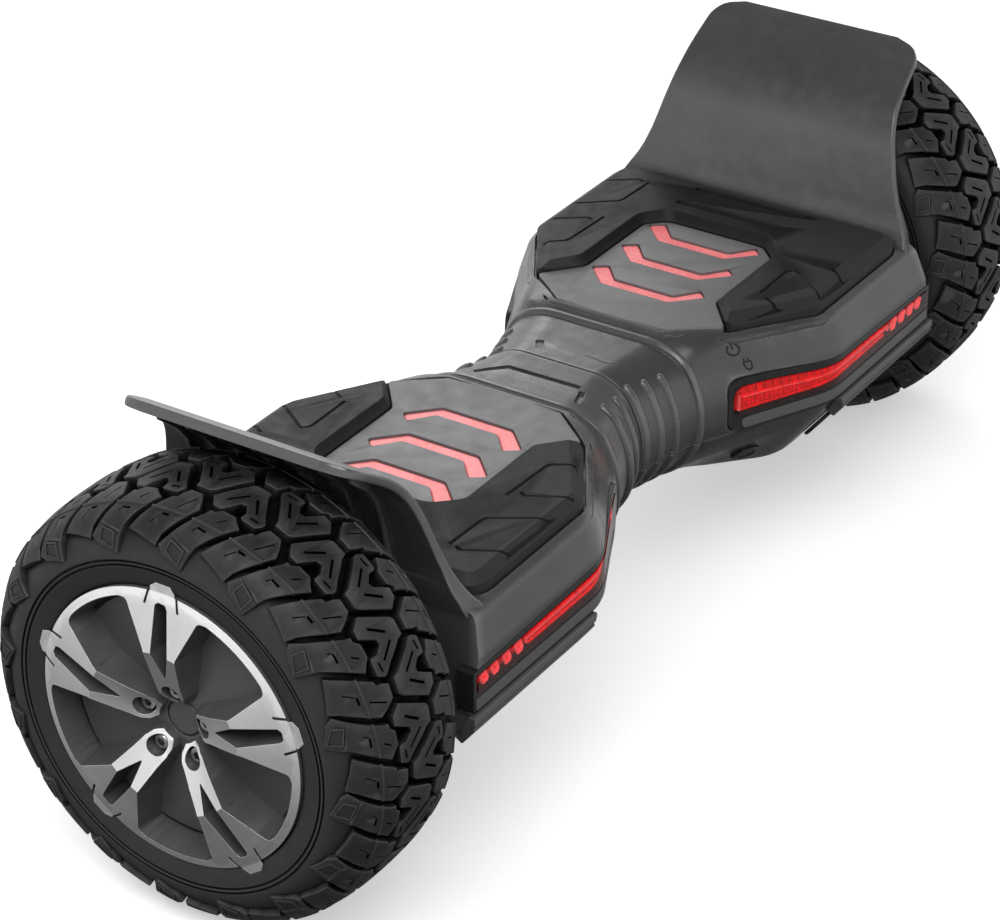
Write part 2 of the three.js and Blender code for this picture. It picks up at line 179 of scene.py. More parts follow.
def tube(name, path, radius, sides):
    """A round bar along a path, with flat ends."""
    path = [Vector(p) for p in path]
    rings = []
    up = None
    for i, p in enumerate(path):
        ahead = (path[min(i + 1, len(path) - 1)] - path[max(i - 1, 0)]).normalized()
        if up is None:
            up = ahead.orthogonal().normalized()
        up = (up - ahead * up.dot(ahead)).normalized()
        side = ahead.cross(up)
        r = radius[i] if hasattr(radius, "__len__") else radius
        rings.append([p + (side * math.cos(a) + up * math.sin(a)) * r
                      for a in np.arange(sides) * 2 * math.pi / sides])
    return loft(name, rings)


def merge(name, objects):
    """Several solids in one mesh, kept apart."""
    verts, faces = [], []
    for obj in objects:
        base = len(verts)
        verts += [v.co.copy() for v in obj.data.vertices]
        faces += [tuple(base + i for i in p.vertices) for p in obj.data.polygons]
        drop(obj)
    mesh = bpy.data.meshes.new(name)
    mesh.from_pydata(verts, [], faces)
    obj = bpy.data.objects.new(name, mesh)
    scene.collection.objects.link(obj)
    return obj


def fillet(points, radius, steps=5):
    """A closed outline with its corners rounded. A radius may be given for each corner."""
    out = []
    n = len(points)
    pts = [np.array(p, float) for p in points]
    for i, p in enumerate(pts):
        a, b = pts[i - 1] - p, pts[(i + 1) % n] - p
        la, lb = max(np.linalg.norm(a), 1e-9), max(np.linalg.norm(b), 1e-9)
        a, b = a / la, b / lb
        r = radius[i] if hasattr(radius, "__len__") else radius
        if r == 0:
            out.append(tuple(p))
            continue
        half = math.acos(max(-1, min(1, float(a @ b)))) / 2
        d = min(r / max(math.tan(half), 1e-3), 0.46 * la, 0.46 * lb)
        for k in range(steps + 1):
            t = k / steps
            out.append(tuple((1 - t) ** 2 * (p + a * d) + 2 * t * (1 - t) * p + t * t * (p + b * d)))
    return out


def area(points):
    return 0.5 * sum(p[0] * q[1] - q[0] * p[1] for p, q in zip(points, points[1:] + points[:1]))


def offset(points, by):
    """A closed outline grown (by > 0) or shrunk, mitred."""
    sign = 1 if area(points) > 0 else -1
    pts = [np.array(p, float) for p in points]
    out = []
    for i, p in enumerate(pts):
        u, v = p - pts[i - 1], pts[(i + 1) % len(pts)] - p
        u, v = u / max(np.linalg.norm(u), 1e-9), v / max(np.linalg.norm(v), 1e-9)
        nu, nv = np.array([u[1], -u[0]]), np.array([v[1], -v[0]])
        m = nu + nv
        k = max(float(m @ m) / 2, 0.35)
        out.append(tuple(p + sign * by * m / k))
    return out


def mirrored(half):
    """A closed outline from its part with y > 0."""
    return list(half) + [(x, -y) for x, y in reversed(half)]


def smooth_lookup(table_x, table_y, x, width):
    spread = np.linspace(-width, width, 11)
    return float(np.mean(np.interp(x + spread, table_x, table_y)))


def place(obj, name, side, body, materials, replaces=(), sharp=32, weighted=True):
    """Finishes a piece: turns it to its half, scales it to metres, shades it and hangs it on its body."""
    obj.name = name
    obj.data.name = name
    turn = Matrix.Rotation(math.pi, 4, "Z") if side == "left" else Matrix.Identity(4)
    obj.data.transform(Matrix.Diagonal((MM, MM, MM, 1)) @ Matrix.Translation((0, 0, AXLE_HEIGHT)) @ turn)
    indices = [min(p.material_index, len(materials) - 1) for p in obj.data.polygons]
    obj.data.materials.clear()
    for material in materials:
        obj.data.materials.append(material)
    obj.data.polygons.foreach_set("material_index", indices)
    obj.data.shade_smooth()
    obj.data.set_sharp_from_angle(angle=math.radians(sharp))
    if weighted:
        modifier = obj.modifiers.new("even_shading", "WEIGHTED_NORMAL")
        modifier.keep_sharp = True
        modifier.weight = 60
    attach(obj, body)
    if replaces:
        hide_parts(*replaces)
    return obj


# ------------------------------------------------------------------ materials


def node_material(name):
    material = bpy.data.materials.new(name)
    material.use_nodes = True
    nodes, links = material.node_tree.nodes, material.node_tree.links
    return material, nodes, links, nodes["Principled BSDF"]


def add_noise(nodes, links, scale, detail):
    position = nodes.new("ShaderNodeTexCoord")
    noise = nodes.new("ShaderNodeTexNoise")
    noise.inputs["Scale"].default_value = scale
    noise.inputs["Detail"].default_value = detail
    links.new(position.outputs["Object"], noise.inputs["Vector"])
    return noise.outputs["Fac"]


def ramp(nodes, links, source, stops):
    node = nodes.new("ShaderNodeValToRGB")
    elements = node.color_ramp.elements
    while len(elements) < len(stops):
        elements.new(0.5)
    for element, (position, value) in zip(elements, stops):
        element.position = position
        element.color = (*value, 1) if hasattr(value, "__len__") else (value, value, value, 1)
    links.new(source, node.inputs["Fac"])
    return node.outputs["Color"]


def surface(name, low, high, roughness, metallic=0.0, grain=900, grain_depth=0.04, coat=0.0, edge=None,
            edge_radius=0.6, blotch=14, specular=0.5, painted_shade_reach=0.0):
    """Blotchy colour between two tones, uneven gloss, fine grain, softened lighter edges, and painted shade
    that darkens recesses.
    """
    material, nodes, links, shader = node_material(name)
    large = add_noise(nodes, links, blotch, 6)
    colour = ramp(nodes, links, large, [(0.35, low), (0.65, high)])
    scuff = add_noise(nodes, links, blotch * 9, 8)
    gloss = ramp(nodes, links, scuff, [(0.3, max(roughness - 0.06, 0.02)), (0.75, min(roughness + 0.09, 1))])
    links.new(gloss, shader.inputs["Roughness"])
    fine = add_noise(nodes, links, grain, 3)
    bevel = nodes.new("ShaderNodeBevel")
    bevel.samples = 4
    bevel.inputs["Radius"].default_value = edge_radius * MM
    bump = nodes.new("ShaderNodeBump")
    bump.inputs["Strength"].default_value = grain_depth
    bump.inputs["Distance"].default_value = 0.0006
    links.new(fine, bump.inputs["Height"])
    links.new(bevel.outputs["Normal"], bump.inputs["Normal"])
    links.new(bump.outputs["Normal"], shader.inputs["Normal"])
    if edge:
        geometry = nodes.new("ShaderNodeNewGeometry")
        worn = ramp(nodes, links, geometry.outputs["Pointiness"], [(0.515, 0.0), (0.58, 1.0)])
        mix = nodes.new("ShaderNodeMix")
        mix.data_type = "RGBA"
        links.new(worn, mix.inputs["Factor"])
        links.new(colour, mix.inputs["A"])
        mix.inputs["B"].default_value = (*edge, 1)
        colour = mix.outputs["Result"]
    shader.inputs["Specular IOR Level"].default_value = specular
    # Painted shade: ambient occlusion darkens the colour and lowers the specular level in recesses and where
    # parts close in.
    if painted_shade_reach:
        shade_occlusion = nodes.new("ShaderNodeAmbientOcclusion")
        shade_occlusion.samples = 4
        shade_occlusion.inputs["Distance"].default_value = painted_shade_reach * MM
        share = ramp(nodes, links, shade_occlusion.outputs["AO"], [(0.25, 0.08), (0.8, 1.0)])
        dim = nodes.new("ShaderNodeMix")
        dim.data_type = "RGBA"
        dim.blend_type = "MULTIPLY"
        dim.inputs["Factor"].default_value = 1.0
        links.new(colour, dim.inputs["A"])
        links.new(share, dim.inputs["B"])
        colour = dim.outputs["Result"]
        shine = nodes.new("ShaderNodeMath")
        shine.operation = "MULTIPLY"
        shine.inputs[1].default_value = specular
        links.new(share, shine.inputs[0])
        links.new(shine.outputs[0], shader.inputs["Specular IOR Level"])
    links.new(colour, shader.inputs["Base Color"])
    shader.inputs["Metallic"].default_value = metallic
    shader.inputs["Coat Weight"].default_value = coat
    shader.inputs["Coat Roughness"].default_value = 0.12
    return material


def grey(value, tint=0.0):
    return (value, value, value * (1 + tint))


def glowing(name, low, high, strength, scale=60):
    """A lit plastic, a little uneven across its face."""
    material, nodes, links, shader = node_material(name)
    noise = add_noise(nodes, links, scale, 4)
    colour = ramp(nodes, links, noise, [(0.35, low), (0.65, high)])
    links.new(colour, shader.inputs["Base Color"])
    links.new(colour, shader.inputs["Emission Color"])
    shader.inputs["Emission Strength"].default_value = strength
    uneven = add_noise(nodes, links, scale * 12, 3)
    links.new(ramp(nodes, links, uneven, [(0.3, 0.2), (0.7, 0.34)]), shader.inputs["Roughness"])
    return material


def clear_plastic(name, tint):
    """Thin tinted plastic: light goes straight through it, coloured, and its surface shines."""
    material, nodes, links, shader = node_material(name)
    nodes.remove(shader)
    noise = add_noise(nodes, links, 220, 3)
    colour = ramp(nodes, links, noise, [(0.3, tuple(c * 0.88 for c in tint)), (0.7, tint)])
    see_through = nodes.new("ShaderNodeBsdfTransparent")
    links.new(colour, see_through.inputs["Color"])
    shine = nodes.new("ShaderNodeBsdfGlossy")
    links.new(ramp(nodes, links, noise, [(0.3, 0.07), (0.8, 0.15)]), shine.inputs["Roughness"])
    mix = nodes.new("ShaderNodeMixShader")
    fresnel = nodes.new("ShaderNodeFresnel")
    fresnel.inputs["IOR"].default_value = 1.5
    geometry = nodes.new("ShaderNodeNewGeometry")
    outside = nodes.new("ShaderNodeMath")
    outside.operation = "SUBTRACT"
    outside.use_clamp = True
    links.new(fresnel.outputs["Fac"], outside.inputs[0])
    links.new(geometry.outputs["Backfacing"], outside.inputs[1])
    links.new(outside.outputs[0], mix.inputs["Fac"])
    links.new(see_through.outputs[0], mix.inputs[1])
    links.new(shine.outputs[0], mix.inputs[2])
    links.new(mix.outputs[0], nodes["Material Output"].inputs["Surface"])
    return material


M = {
    "shell": surface("shell_grey", grey(0.08), grey(0.1), 0.27, metallic=0.5, grain=1500, grain_depth=0.05,
                     edge=grey(0.2), edge_radius=0.7),
    "panel": surface("panel_grey", grey(0.085), grey(0.105), 0.42, metallic=0.3, grain=1700,
                     grain_depth=0.07, edge=grey(0.2), edge_radius=0.5),
    "mat": surface("mat_rubber", grey(0.006), grey(0.0095), 0.5, grain=1300, grain_depth=0.12,
                   edge=grey(0.03), specular=0.2),
    # The tyre rubber carries painted shade in its tread grooves, by ambient occlusion over 16 mm.
    "tyre": surface("tyre_rubber", grey(0.009), grey(0.017), 0.55, grain=700, grain_depth=0.12,
                    edge=grey(0.06), edge_radius=0.4, specular=0.42, blotch=24, painted_shade_reach=16),
    "trim": surface("bezel_black", grey(0.003), grey(0.006), 0.26, grain=900, grain_depth=0.02,
                    edge=grey(0.02), edge_radius=0.4, specular=0.3),
    "hem": surface("bumper_grey", grey(0.05), grey(0.072), 0.42, grain=1300, grain_depth=0.06, metallic=0.2,
                   edge=grey(0.12), edge_radius=0.5),
    "machined": surface("machined_alloy", grey(0.72, 0.01), grey(0.84, 0.01), 0.2, metallic=1.0, grain=2600,
                        grain_depth=0.02, edge=grey(0.9), edge_radius=0.4),
    "wheel_paint": surface("wheel_paint", grey(0.10), grey(0.13), 0.36, metallic=0.3, grain=1500,
                           grain_depth=0.03, edge=grey(0.14), edge_radius=0.5),
    "steel": surface("bolt_steel", grey(0.2), grey(0.3), 0.3, metallic=1.0, grain=1800, grain_depth=0.03,
                     edge=grey(0.5), edge_radius=0.2),
    "dark": surface("shadow_black", grey(0.004), grey(0.008), 0.6, grain=900, grain_depth=0.05),
    "cast": surface("cast_alloy", grey(0.32), grey(0.42), 0.5, metallic=0.9, grain=600, grain_depth=0.2),
    "winding": surface("copper_winding", (0.45, 0.16, 0.06), (0.6, 0.25, 0.1), 0.35, metallic=0.9, grain=500),
    "board": surface("circuit_board", (0.01, 0.09, 0.03), (0.02, 0.15, 0.05), 0.4, grain=800, coat=0.3),
    "cells": surface("battery_wrap", (0.02, 0.06, 0.15), (0.03, 0.09, 0.2), 0.4, grain=900, coat=0.2),
    "bush": surface("bush_plastic", (0.5, 0.48, 0.4), (0.62, 0.6, 0.52), 0.45, grain=900),
    "glow": glowing("deck_glow", (0.78, 0.16, 0.17), (0.86, 0.22, 0.23), 0.1),
    "red_lens": clear_plastic("red_lens", (0.95, 0.4, 0.4)),
    "clear_lens": clear_plastic("clear_lens", (0.93, 0.95, 0.97)),
    "red_deep": glowing("red_reflector", (0.26, 0.001, 0.003), (0.5, 0.004, 0.008), 0.6, scale=420),
    "red_dim": glowing("red_ribs", (0.6, 0.004, 0.012), (0.9, 0.014, 0.032), 0.55, scale=300),
    "red_bright": glowing("red_light_pipe", (0.95, 0.42, 0.46), (1.0, 0.7, 0.74), 0.55, scale=300),
    "white_deep": glowing("white_reflector", (0.25, 0.26, 0.28), (0.5, 0.52, 0.55), 0.1, scale=420),
    "white_dim": glowing("white_ribs", (0.45, 0.48, 0.52), (0.7, 0.73, 0.78), 0.2, scale=300),
    "white_bright": glowing("white_light_pipe", (0.8, 0.84, 0.9), (0.95, 0.97, 1.0), 0.6, scale=300),
}

# ------------------------------------------------------------------ footboard

# Half outlines (y, z) along X: deck edge, shoulder, waist, hem, flank, keel.
NECK_END = 0.6
STATION_X = [NECK_END, 36, 41, 47, 52, 70, 116, 217]
OUTLINES = [
    [(27, 36), (40, 29), (49.5, 10), (49.5, -11), (40, -28), (24, -37)],
    [(33, 36.8), (49, 30), (58, 11), (58, -12), (47, -29), (28, -41)],
    [(34, 37.2), (50, 30.5), (60, 12), (60, -12), (48, -30), (29, -42)],
    [(37, 40.9), (50, 36.5), (63, 15), (63, -13), (52, -30), (30, -44)],
    [(40, 41), (53, 37.5), (66, 15), (66, -13), (54, -30), (32, -45.5)],
    [(53, 41), (60, 38), (74, 15), (73.5, -13), (62, -29), (38, -49)],
    [(60, 41), (91, 35.5), (97, 15), (95.5, -13), (88, -25), (64, -57)],
    [(60, 41), (91, 34.5), (96.5, 14), (95.5, -14), (88, -26), (64, -57)],
]
# The wheel end bulges: its X at some depths below the axle.
END_DEPTH = [-41, -34.5, -14, 14, 26, 57]
END_X = [217, 217, 222, 227, 230, 231]
BULGE_START = 116
BODY_END = 217
CORNER_RADII = [9, 9, 16, 9, 12, 16]
BOARD_SMOOTHING = 9
SEAM_Z = -12.5
SEAM_GAP = 0.25
WALL = 2.8
POCKET_FLOOR = 31.5


def outline_at(x):
    """The half outline at x: the stations' outlines, blended more softly towards the deck."""
    width = float(np.interp(x, [20, 33, 44, 60, 90], [0.5, 2.5, 4, 7, BOARD_SMOOTHING]))
    return [tuple(smooth_lookup(STATION_X, [o[i][k] for o in OUTLINES], x, width) for k in (0, 1))
            for i in range(6)]


def corner_radii(x):
    """The neck is rounded far more than the deck."""
    extra = float(np.interp(x, [40, 78], [45, 0]))
    return [r + extra for r in CORNER_RADII]


def full_outline(half, x, steps):
    """Both sides of a half outline, with its corners rounded."""
    both = half + [(-y, z) for y, z in reversed(half)]
    return fillet(both, corner_radii(x) + corner_radii(x)[::-1], steps)


def body_ring(x, inset=0.0, cap_z=None):
    half = outline_at(x)
    if inset:
        half = [(y - inset, z - math.copysign(inset, z)) for y, z in half]
    if cap_z is not None:
        half = [(y, min(z, cap_z)) for y, z in half]
    share = min(max((x - BULGE_START) / (BODY_END - BULGE_START), 0), 1) ** 2
    out = []
    for y, z in full_outline(half, x, 5):
        end = np.interp(-z, END_DEPTH, END_X)
        out.append((x + (end - BODY_END) * share - inset * share * 1.3, y, z))
    return out


def body_stations(step=3.0):
    neck = list(np.arange(NECK_END, 48, 1.8))
    shoulder = list(np.arange(48.6, 82, 2.2))
    return neck + shoulder + list(np.arange(83, 215, step)) + [BODY_END]


def body_solid():
    return loft("body", [body_ring(x) for x in body_stations()])


def cavity_solid():
    rings = [body_ring(x, WALL, POCKET_FLOOR - WALL) for x in body_stations(6)]
    rings[0] = [(x - 2, y, z) for x, y, z in rings[0]]
    return loft("cavity", rings)


POCKET = mirrored([(50, 33.5), (69.3, 58.4), (116, 87), (210.4, 87)])
POCKET_RADII = [4, 9, 16, 15, 15, 16, 9, 4]
PANEL = mirrored([(48.9, 6), (50.8, 32.6), (69.8, 56.4), (91, 39.2), (150, 39.2), (160, 29)])
PANEL_RADII = [12, 2, 3, 7, 7, 9, 9, 7, 7, 3, 2, 12]
PANEL_TOP = 41


# The fender's inner face from the deck to its tip, as (x, z), and its half width and thickness by height.
FENDER = [(203, 30), (208.5, 35.5), (212.2, 40.5), (214.8, 47), (217, 56), (219.4, 65), (221.8, 74),
          (225, 85), (229.8, 95), (236.6, 103.5), (245.5, 110.7), (257.2, 118.3), (264.5, 122.6),
          (271, 126.4)]
FENDER_HALF = ([30, 35, 42, 48, 54, 63, 72, 88, 100, 118, 127],
               [91, 89.6, 85.8, 82, 79, 75.7, 73.2, 69.2, 66.6, 64, 63])
FENDER_THICK = ([30, 42, 56, 72, 118], [14, 8.5, 5.6, 4.8, 4.6])
FENDER_CORNER = 15


def arc_length(knots):
    return np.concatenate([[0], np.cumsum(np.linalg.norm(np.diff(knots, axis=0), axis=1))])


def fender_solid():
    """A curved plate that rises from the wheel end of the deck and leans over the tyre."""
    knots = np.array(FENDER, float)
    run = arc_length(knots)
    t = np.linspace(0, run[-1], 54)
    spread = np.linspace(-5, 5, 9)
    dense = np.stack([[np.mean(np.interp(np.clip(s + spread, 0, run[-1]), run, knots[:, k])) for s in t]
                      for k in (0, 1)], axis=1)
    dense[0], dense[-1] = knots[0], knots[-1]
    rings = []
    for i, (x, z) in enumerate(dense):
        ahead = dense[min(i + 1, len(dense) - 1)] - dense[max(i - 1, 0)]
        ahead /= np.linalg.norm(ahead)
        out = np.array([ahead[1], -ahead[0]])
        half = np.interp(z, *FENDER_HALF)
        into_corner = FENDER_CORNER - (run[-1] - t[i])
        if into_corner > 0:
            half -= FENDER_CORNER - math.sqrt(max(FENDER_CORNER ** 2 - into_corner ** 2, 0))
        thick = np.interp(z, *FENDER_THICK)
        ring = fillet([(-half, 0), (half, 0), (half, thick), (-half, thick)], 1.5, 3)
        rings.append([(x + out[0] * d, y, z + out[1] * d) for y, d in ring])
    return loft("fender", rings)


def fender_ribs():
    """Upright stiffeners on the tyre side of the fender."""
    profile = [(221.5, 34), (222.5, 60), (227, 79), (233, 92), (242.5, 102.4), (256, 111.4), (255, 108),
               (243.5, 98.5), (236.5, 90), (231.5, 76), (228, 58), (226.5, 34)]
    return [prism_y(profile, y - 0.9, y + 0.9) for y in (-52, -36, -18, 0, 18, 36, 52)]


# The upper edges of a light's bezel and of its lens, as (x, z).
LIGHT_TOP = [(50, 18.5), (80, 17), (104, 14.3), (124, 12.6), (226, 9.2)]
LENS_TOP = [(50, 14.2), (80, 12.6), (104, 9.8), (124, 8.4), (226, 6.2)]


def light_path(x):
    """How far from the centre plane the body's flank is, at the height of the lights."""
    half = outline_at(min(x, BODY_END))
    return 0.55 * half[2][0] + 0.45 * half[3][0]


CUTTER_REACH = 20


def light_band(side, x0, x1, out, depth, top, bottom, end_radius, grow=0.0):
    """A curved bar along the light's path; out is how far its face stands off the path.

    Grown, it is the cutter for the piece around it and runs out past the body's side.
    """
    x0, x1, depth, bottom = x0 - grow, x1 + grow, depth + grow, bottom - grow
    out += CUTTER_REACH * (grow > 0)
    xs = list(np.arange(x0, x1, 3.0)) + [x1]
    plan = [(x, side * (light_path(x) + out)) for x in xs]
    plan += [(x, side * (light_path(x) - depth)) for x in reversed(xs)]
    crest = [(x, smooth_lookup(*zip(*top), x, 6) + grow) for x in xs
             if x == x0 or x > x0 + 2.2 * end_radius]
    face = [(x0, bottom), (x1, bottom)] + list(reversed(crest))
    radii = [end_radius, 1.5, 1.5] + [0] * (len(crest) - 2) + [end_radius]
    return common(prism_z(plan, -40, 40), prism_y(fillet(face, radii, 8), -130, 130))


def bezel_space(side, grow=0.0):
    return light_band(side, 56, 226.4, 0.5, 9, LIGHT_TOP, SEAM_Z + 0.2, 9, grow)


def lens_space(side, grow=0.0):
    return light_band(side, 59, 223.5, 1.1, 6, LENS_TOP, -2.6, 6.5, grow)


def insert_space(side, grow=0.0):
    """The strip of hem colour under the lens."""
    return light_band(side, 64, 225, 1.0, 3, [(50, -5.2), (230, -5.2)], SEAM_Z + 1.4, 3, grow)


def ring_part(x, side, z_from, z_to, out):
    """Points along the body's outline at x on one side, from one height down to another."""
    half = outline_at(x)
    pts = fillet([(0, half[0][1])] + half + [(0, half[-1][1])], [0] + corner_radii(x) + [0], 6)
    dense = []
    for p, q in zip(pts, pts[1:]):
        for t in (0, 0.25, 0.5, 0.75):
            dense.append((p[0] + (q[0] - p[0]) * t, p[1] + (q[1] - p[1]) * t))
    dense.append(pts[-1])
    keep = []
    for i, (y, z) in enumerate(dense):
        if z_to <= z <= z_from:
            a = dense[max(i - 1, 0)]
            b = dense[min(i + 1, len(dense) - 1)]
            d = Vector((b[0] - a[0], b[1] - a[1])).normalized()
            keep.append((x, side * (y - d.y * out), z + d.x * out))
    return keep


def neck_rib(x, side, z_from, radius, lean):
    path = ring_part(x, side, z_from, -36, -1.0)
    n = len(path)
    path = [(px + lean * (i / n), y, z) for i, (px, y, z) in enumerate(path)]
    radii = [radius * min(1.0, 0.55 + i / 3.0) for i in range(n)]
    return tube("rib", path, radii, 12)


def neck_flange(x=41.5, radius=2.8, out=-1.3):
    """A raised hoop round the neck."""
    ring = full_outline(outline_at(x), x, 6)
    angles = np.arange(10) * 2 * math.pi / 10
    rings = []
    n = len(ring)
    for i, (y, z) in enumerate(ring):
        a, b = ring[i - 1], ring[(i + 1) % n]
        d = Vector((b[0] - a[0], b[1] - a[1])).normalized()
        normal = Vector((d.y, -d.x))
        if normal.dot(Vector((y, z))) < 0:
            normal = -normal
        rise = [out + radius * math.sin(t) for t in angles]
        rings.append([(x + radius * math.cos(t), y + normal.x * h, z + normal.y * h)
                      for t, h in zip(angles, rise)])
    return loft("flange", rings, closed=True)


def deck_height(x, y):
    half = outline_at(max(min(x, BODY_END), NECK_END))
    ys = [0] + [p[0] for p in half[:3]]
    zs = [half[0][1]] + [p[1] for p in half[:3]]
    return float(np.interp(abs(y), ys, zs))


def deck_groove():
    """A fine line pressed into the shell beside the pocket, open at the fender."""
    path = fillet(offset(POCKET, 3.6), POCKET_RADII, 8)
    pieces = []
    run = []
    for x, y in path * 2:
        if x < 209:
            run.append((x, y, deck_height(x, y) + 0.15))
        elif run:
            pieces.append(run)
            run = []
    return tube("groove", max(pieces, key=len), 0.75, 6)


def top_shell(side):
    shell = cut(body_solid(), cavity_solid())
    shell = common(shell, box((-5, 260), (-120, 120), (SEAM_Z + SEAM_GAP, 60)))
    shell = union(shell, fender_solid())
    shell = cut(shell, prism_z(fillet(POCKET, POCKET_RADII, 6), POCKET_FLOOR, 46))
    for s in (-1, 1):
        for z_from, x, radius, lean in rib_plan(side):
            shell = union(shell, neck_rib(x, s, z_from, radius, lean))
    shell = union(shell, neck_flange())
    shell = common(shell, box((NECK_END, 300), (-130, 130), (SEAM_Z + SEAM_GAP, 140)))
    for s in (-1, 1):
        shell = cut(shell, bezel_space(s, 0.25))
    shell = cut(shell, deck_groove(), *neck_top_cuts(side))
    shell = union(shell, merge("ribs", fender_ribs()))
    return cut(shell, disc("axle_hole", [(11, 200), (11, 240)], 40), box((200, 240), (-11, 11), (-20, 0)))


def surface_mark(points, width):
    """A raised line on the rear flank, from points (x, z) that are dropped onto the body along Y."""
    path = []
    for x, z in points:
        half = outline_at(x)
        pts = fillet(half, [0] + CORNER_RADII[1:-1] + [0], 5)
        y = float(np.interp(-z, [-p[1] for p in pts], [p[0] for p in pts]))
        path.append((x, -(y + 0.05), z))
    return tube("mark", path, width, 6)


def split_shade_plate():
    """A dark plate inside the end of one neck: painted shade that closes the split between the halves from
    view.
    """
    edge = body_ring(NECK_END, 2.0)
    plate = loft("shade_plate", [[(x, y, z) for _, y, z in edge] for x in (-0.35, NECK_END + 1.6)])
    return cut(plate, disc("tube_room", [(19.4, -5), (19.4, 5)], 60))


def icon_marks():
    """The power sign (a broken ring and a bar) and the charging sign (a plug)."""
    x, z, r = 67.0, 31.0, 3.4
    arc = [(x + r * math.sin(a), z + 0.75 * r * math.cos(a))
           for a in np.linspace(0.55, 2 * math.pi - 0.55, 22)]
    marks = [surface_mark(arc, 0.5), surface_mark([(x, z + 0.2), (x, z + 3.4)], 0.5)]
    x, z = 71.0, 22.5
    plug = [(-2.2, 1.6), (2.2, 1.6), (1.6, -1.4), (0, -2.4), (-1.6, -1.4), (-2.2, 1.6)]
    marks.append(surface_mark([(x + dx, z + dz) for dx, dz in plug], 0.45))
    for dx in (-1.1, 1.1):
        marks.append(surface_mark([(x + dx, z + 1.6), (x + dx, z + 3.4)], 0.4))
    return merge("marks", marks)


def rib_plan(side):
    """The ribs on a neck, as (height of the upper end, x, radius, lean along x)."""
    if side == "right":
        return [(31.5, 4.2, 2.5, 0), (31, 14.5, 2.6, 0), (30.5, 25.0, 2.6, 0)]
    return [(31.5, 9.0, 2.5, 0), (33, 22.0, 2.6, -6)]


def bar_along(path, width, z0, z1):
    """A flat bar of constant width along a plan path, as a cutting tool."""
    left, right = [], []
    pts = [np.array(p, float) for p in path]
    for i, p in enumerate(pts):
        u = pts[i] - pts[i - 1] if i else pts[1] - pts[0]
        v = pts[i + 1] - pts[i] if i + 1 < len(pts) else u
        u, v = u / np.linalg.norm(u), v / np.linalg.norm(v)
        m = np.array([-u[1] - v[1], u[0] + v[0]])
        m = m / max(float(m @ m) / 2, 0.4)
        left.append(tuple(p + m * width / 2))
        right.append(tuple(p - m * width / 2))
    return prism_z(left + right[::-1], z0, z1)


def neck_top_cuts(side):
    """The grooves on top of a neck: each half has its own pattern."""
    if side == "right":
        tab = prism_z(fillet([(8.6, 13.9), (15.6, 18.4), (13.4, 22.1), (6.4, 17.6)], 1.0, 3), 35.4, 50)
        line = bar_along([(13, -8), (11.5, -20), (15, -30), (19, -38)], 0.7, 30.5, 50)
        top = common(line, prism_x([(-45, 36.0), (-27, 36.0), (0, 36.3), (0, 60), (-45, 60)], 0, 40))
        return [tab, top]
    channel = bar_along([(31.5, -30.5), (18.5, -18), (17.5, 23.5)], 3.4, 35.0, 50)
    foot = bar_along([(20, 26.5), (31.5, 30)], 3.2, 34.6, 50)
    return [channel, foot]


def bottom_shell(side):
    shell = cut(body_solid(), cavity_solid())
    shell = common(shell, box((-5, 260), (-120, 120), (-90, SEAM_Z - SEAM_GAP)))
    for s in (-1, 1):
        for _, x, radius, lean in rib_plan(side):
            below = box((-5, 60), (-90, 90), (-60, SEAM_Z - SEAM_GAP))
            shell = union(shell, common(neck_rib(x, s, 30, radius, lean), below))
    shell = union(shell, common(neck_flange(), box((0, 60), (-90, 90), (-60, SEAM_Z - SEAM_GAP))))
    shell = common(shell, box((NECK_END, 300), (-130, 130), (-90, 0)))
    for x in np.arange(132, 216, 12):
        shell = cut(shell, box((x - 1.2, x + 1.2), (-46, 46), (-60, -56.1)))
    if side == "right":
        shell = cut(shell, aimed_pin(BUTTON, BUTTON_OUT, 8.0, -8, 12), aimed_pin(PORT, PORT_OUT, 9.8, -8, 12))
    return shell


# The power button and the charge port, where they sit and which way they face.
BUTTON = Vector((90, -60, -41.5))
BUTTON_OUT = Vector((-0.38, -0.66, -0.647)).normalized()
PORT = Vector((142, -76, -41))
PORT_OUT = Vector((0, -0.791, -0.612)).normalized()
PORT_UP = Vector((0, -0.612, 0.791))


def aimed_pin(centre, out, radius, start, end):
    return aimed_turn("pin", centre, out, [(radius, start), (radius, end)])


def aimed_turn(name, centre, out, profile, sides=40):
    """A profile of (radius, distance) turned about an axis through centre; its ends may lie on the axis."""
    u = out.orthogonal().normalized()
    v = out.cross(u)
    rings = [[centre + out * d + (u * math.cos(a) + v * math.sin(a)) * max(r, 0.01)
              for a in np.arange(sides) * 2 * math.pi / sides] for r, d in profile]
    return loft(name, rings)


# ------------------------------------------------------------------ deck


def chevron(x0, shrink):
    s = shrink
    pts = [(x0 + s, -18), (x0 + 14.9 + s, -32.1 + s), (x0 + 21.0 - s, -26.4 + s), (x0 + 8.3 - s, -16.6),
           (x0 + 8.3 - s, 18.6), (x0 + 20.4 - s, 29.0 + s), (x0 + 14.5, 37.0 - s), (x0 + s, 22.5)]
    return fillet(pts, [4, 2.4, 2.4, 3, 3, 2.4, 2.4, 4], 4)


CHEVRONS = [77.6, 107.6, 136.6]


def deck_panel():
    outline = fillet(PANEL, PANEL_RADII, 6)
    rings = []
    for inset, z in ((0, 35.8), (0, PANEL_TOP - 0.9), (0.25, PANEL_TOP - 0.35), (0.9, PANEL_TOP)):
        rings.append([(x, y, z) for x, y in offset(outline, -inset)])
    panel = loft("panel", rings)
    for x0 in CHEVRONS:
        panel = cut(panel, prism_z(chevron(x0, 0), 30, 50))
    return panel


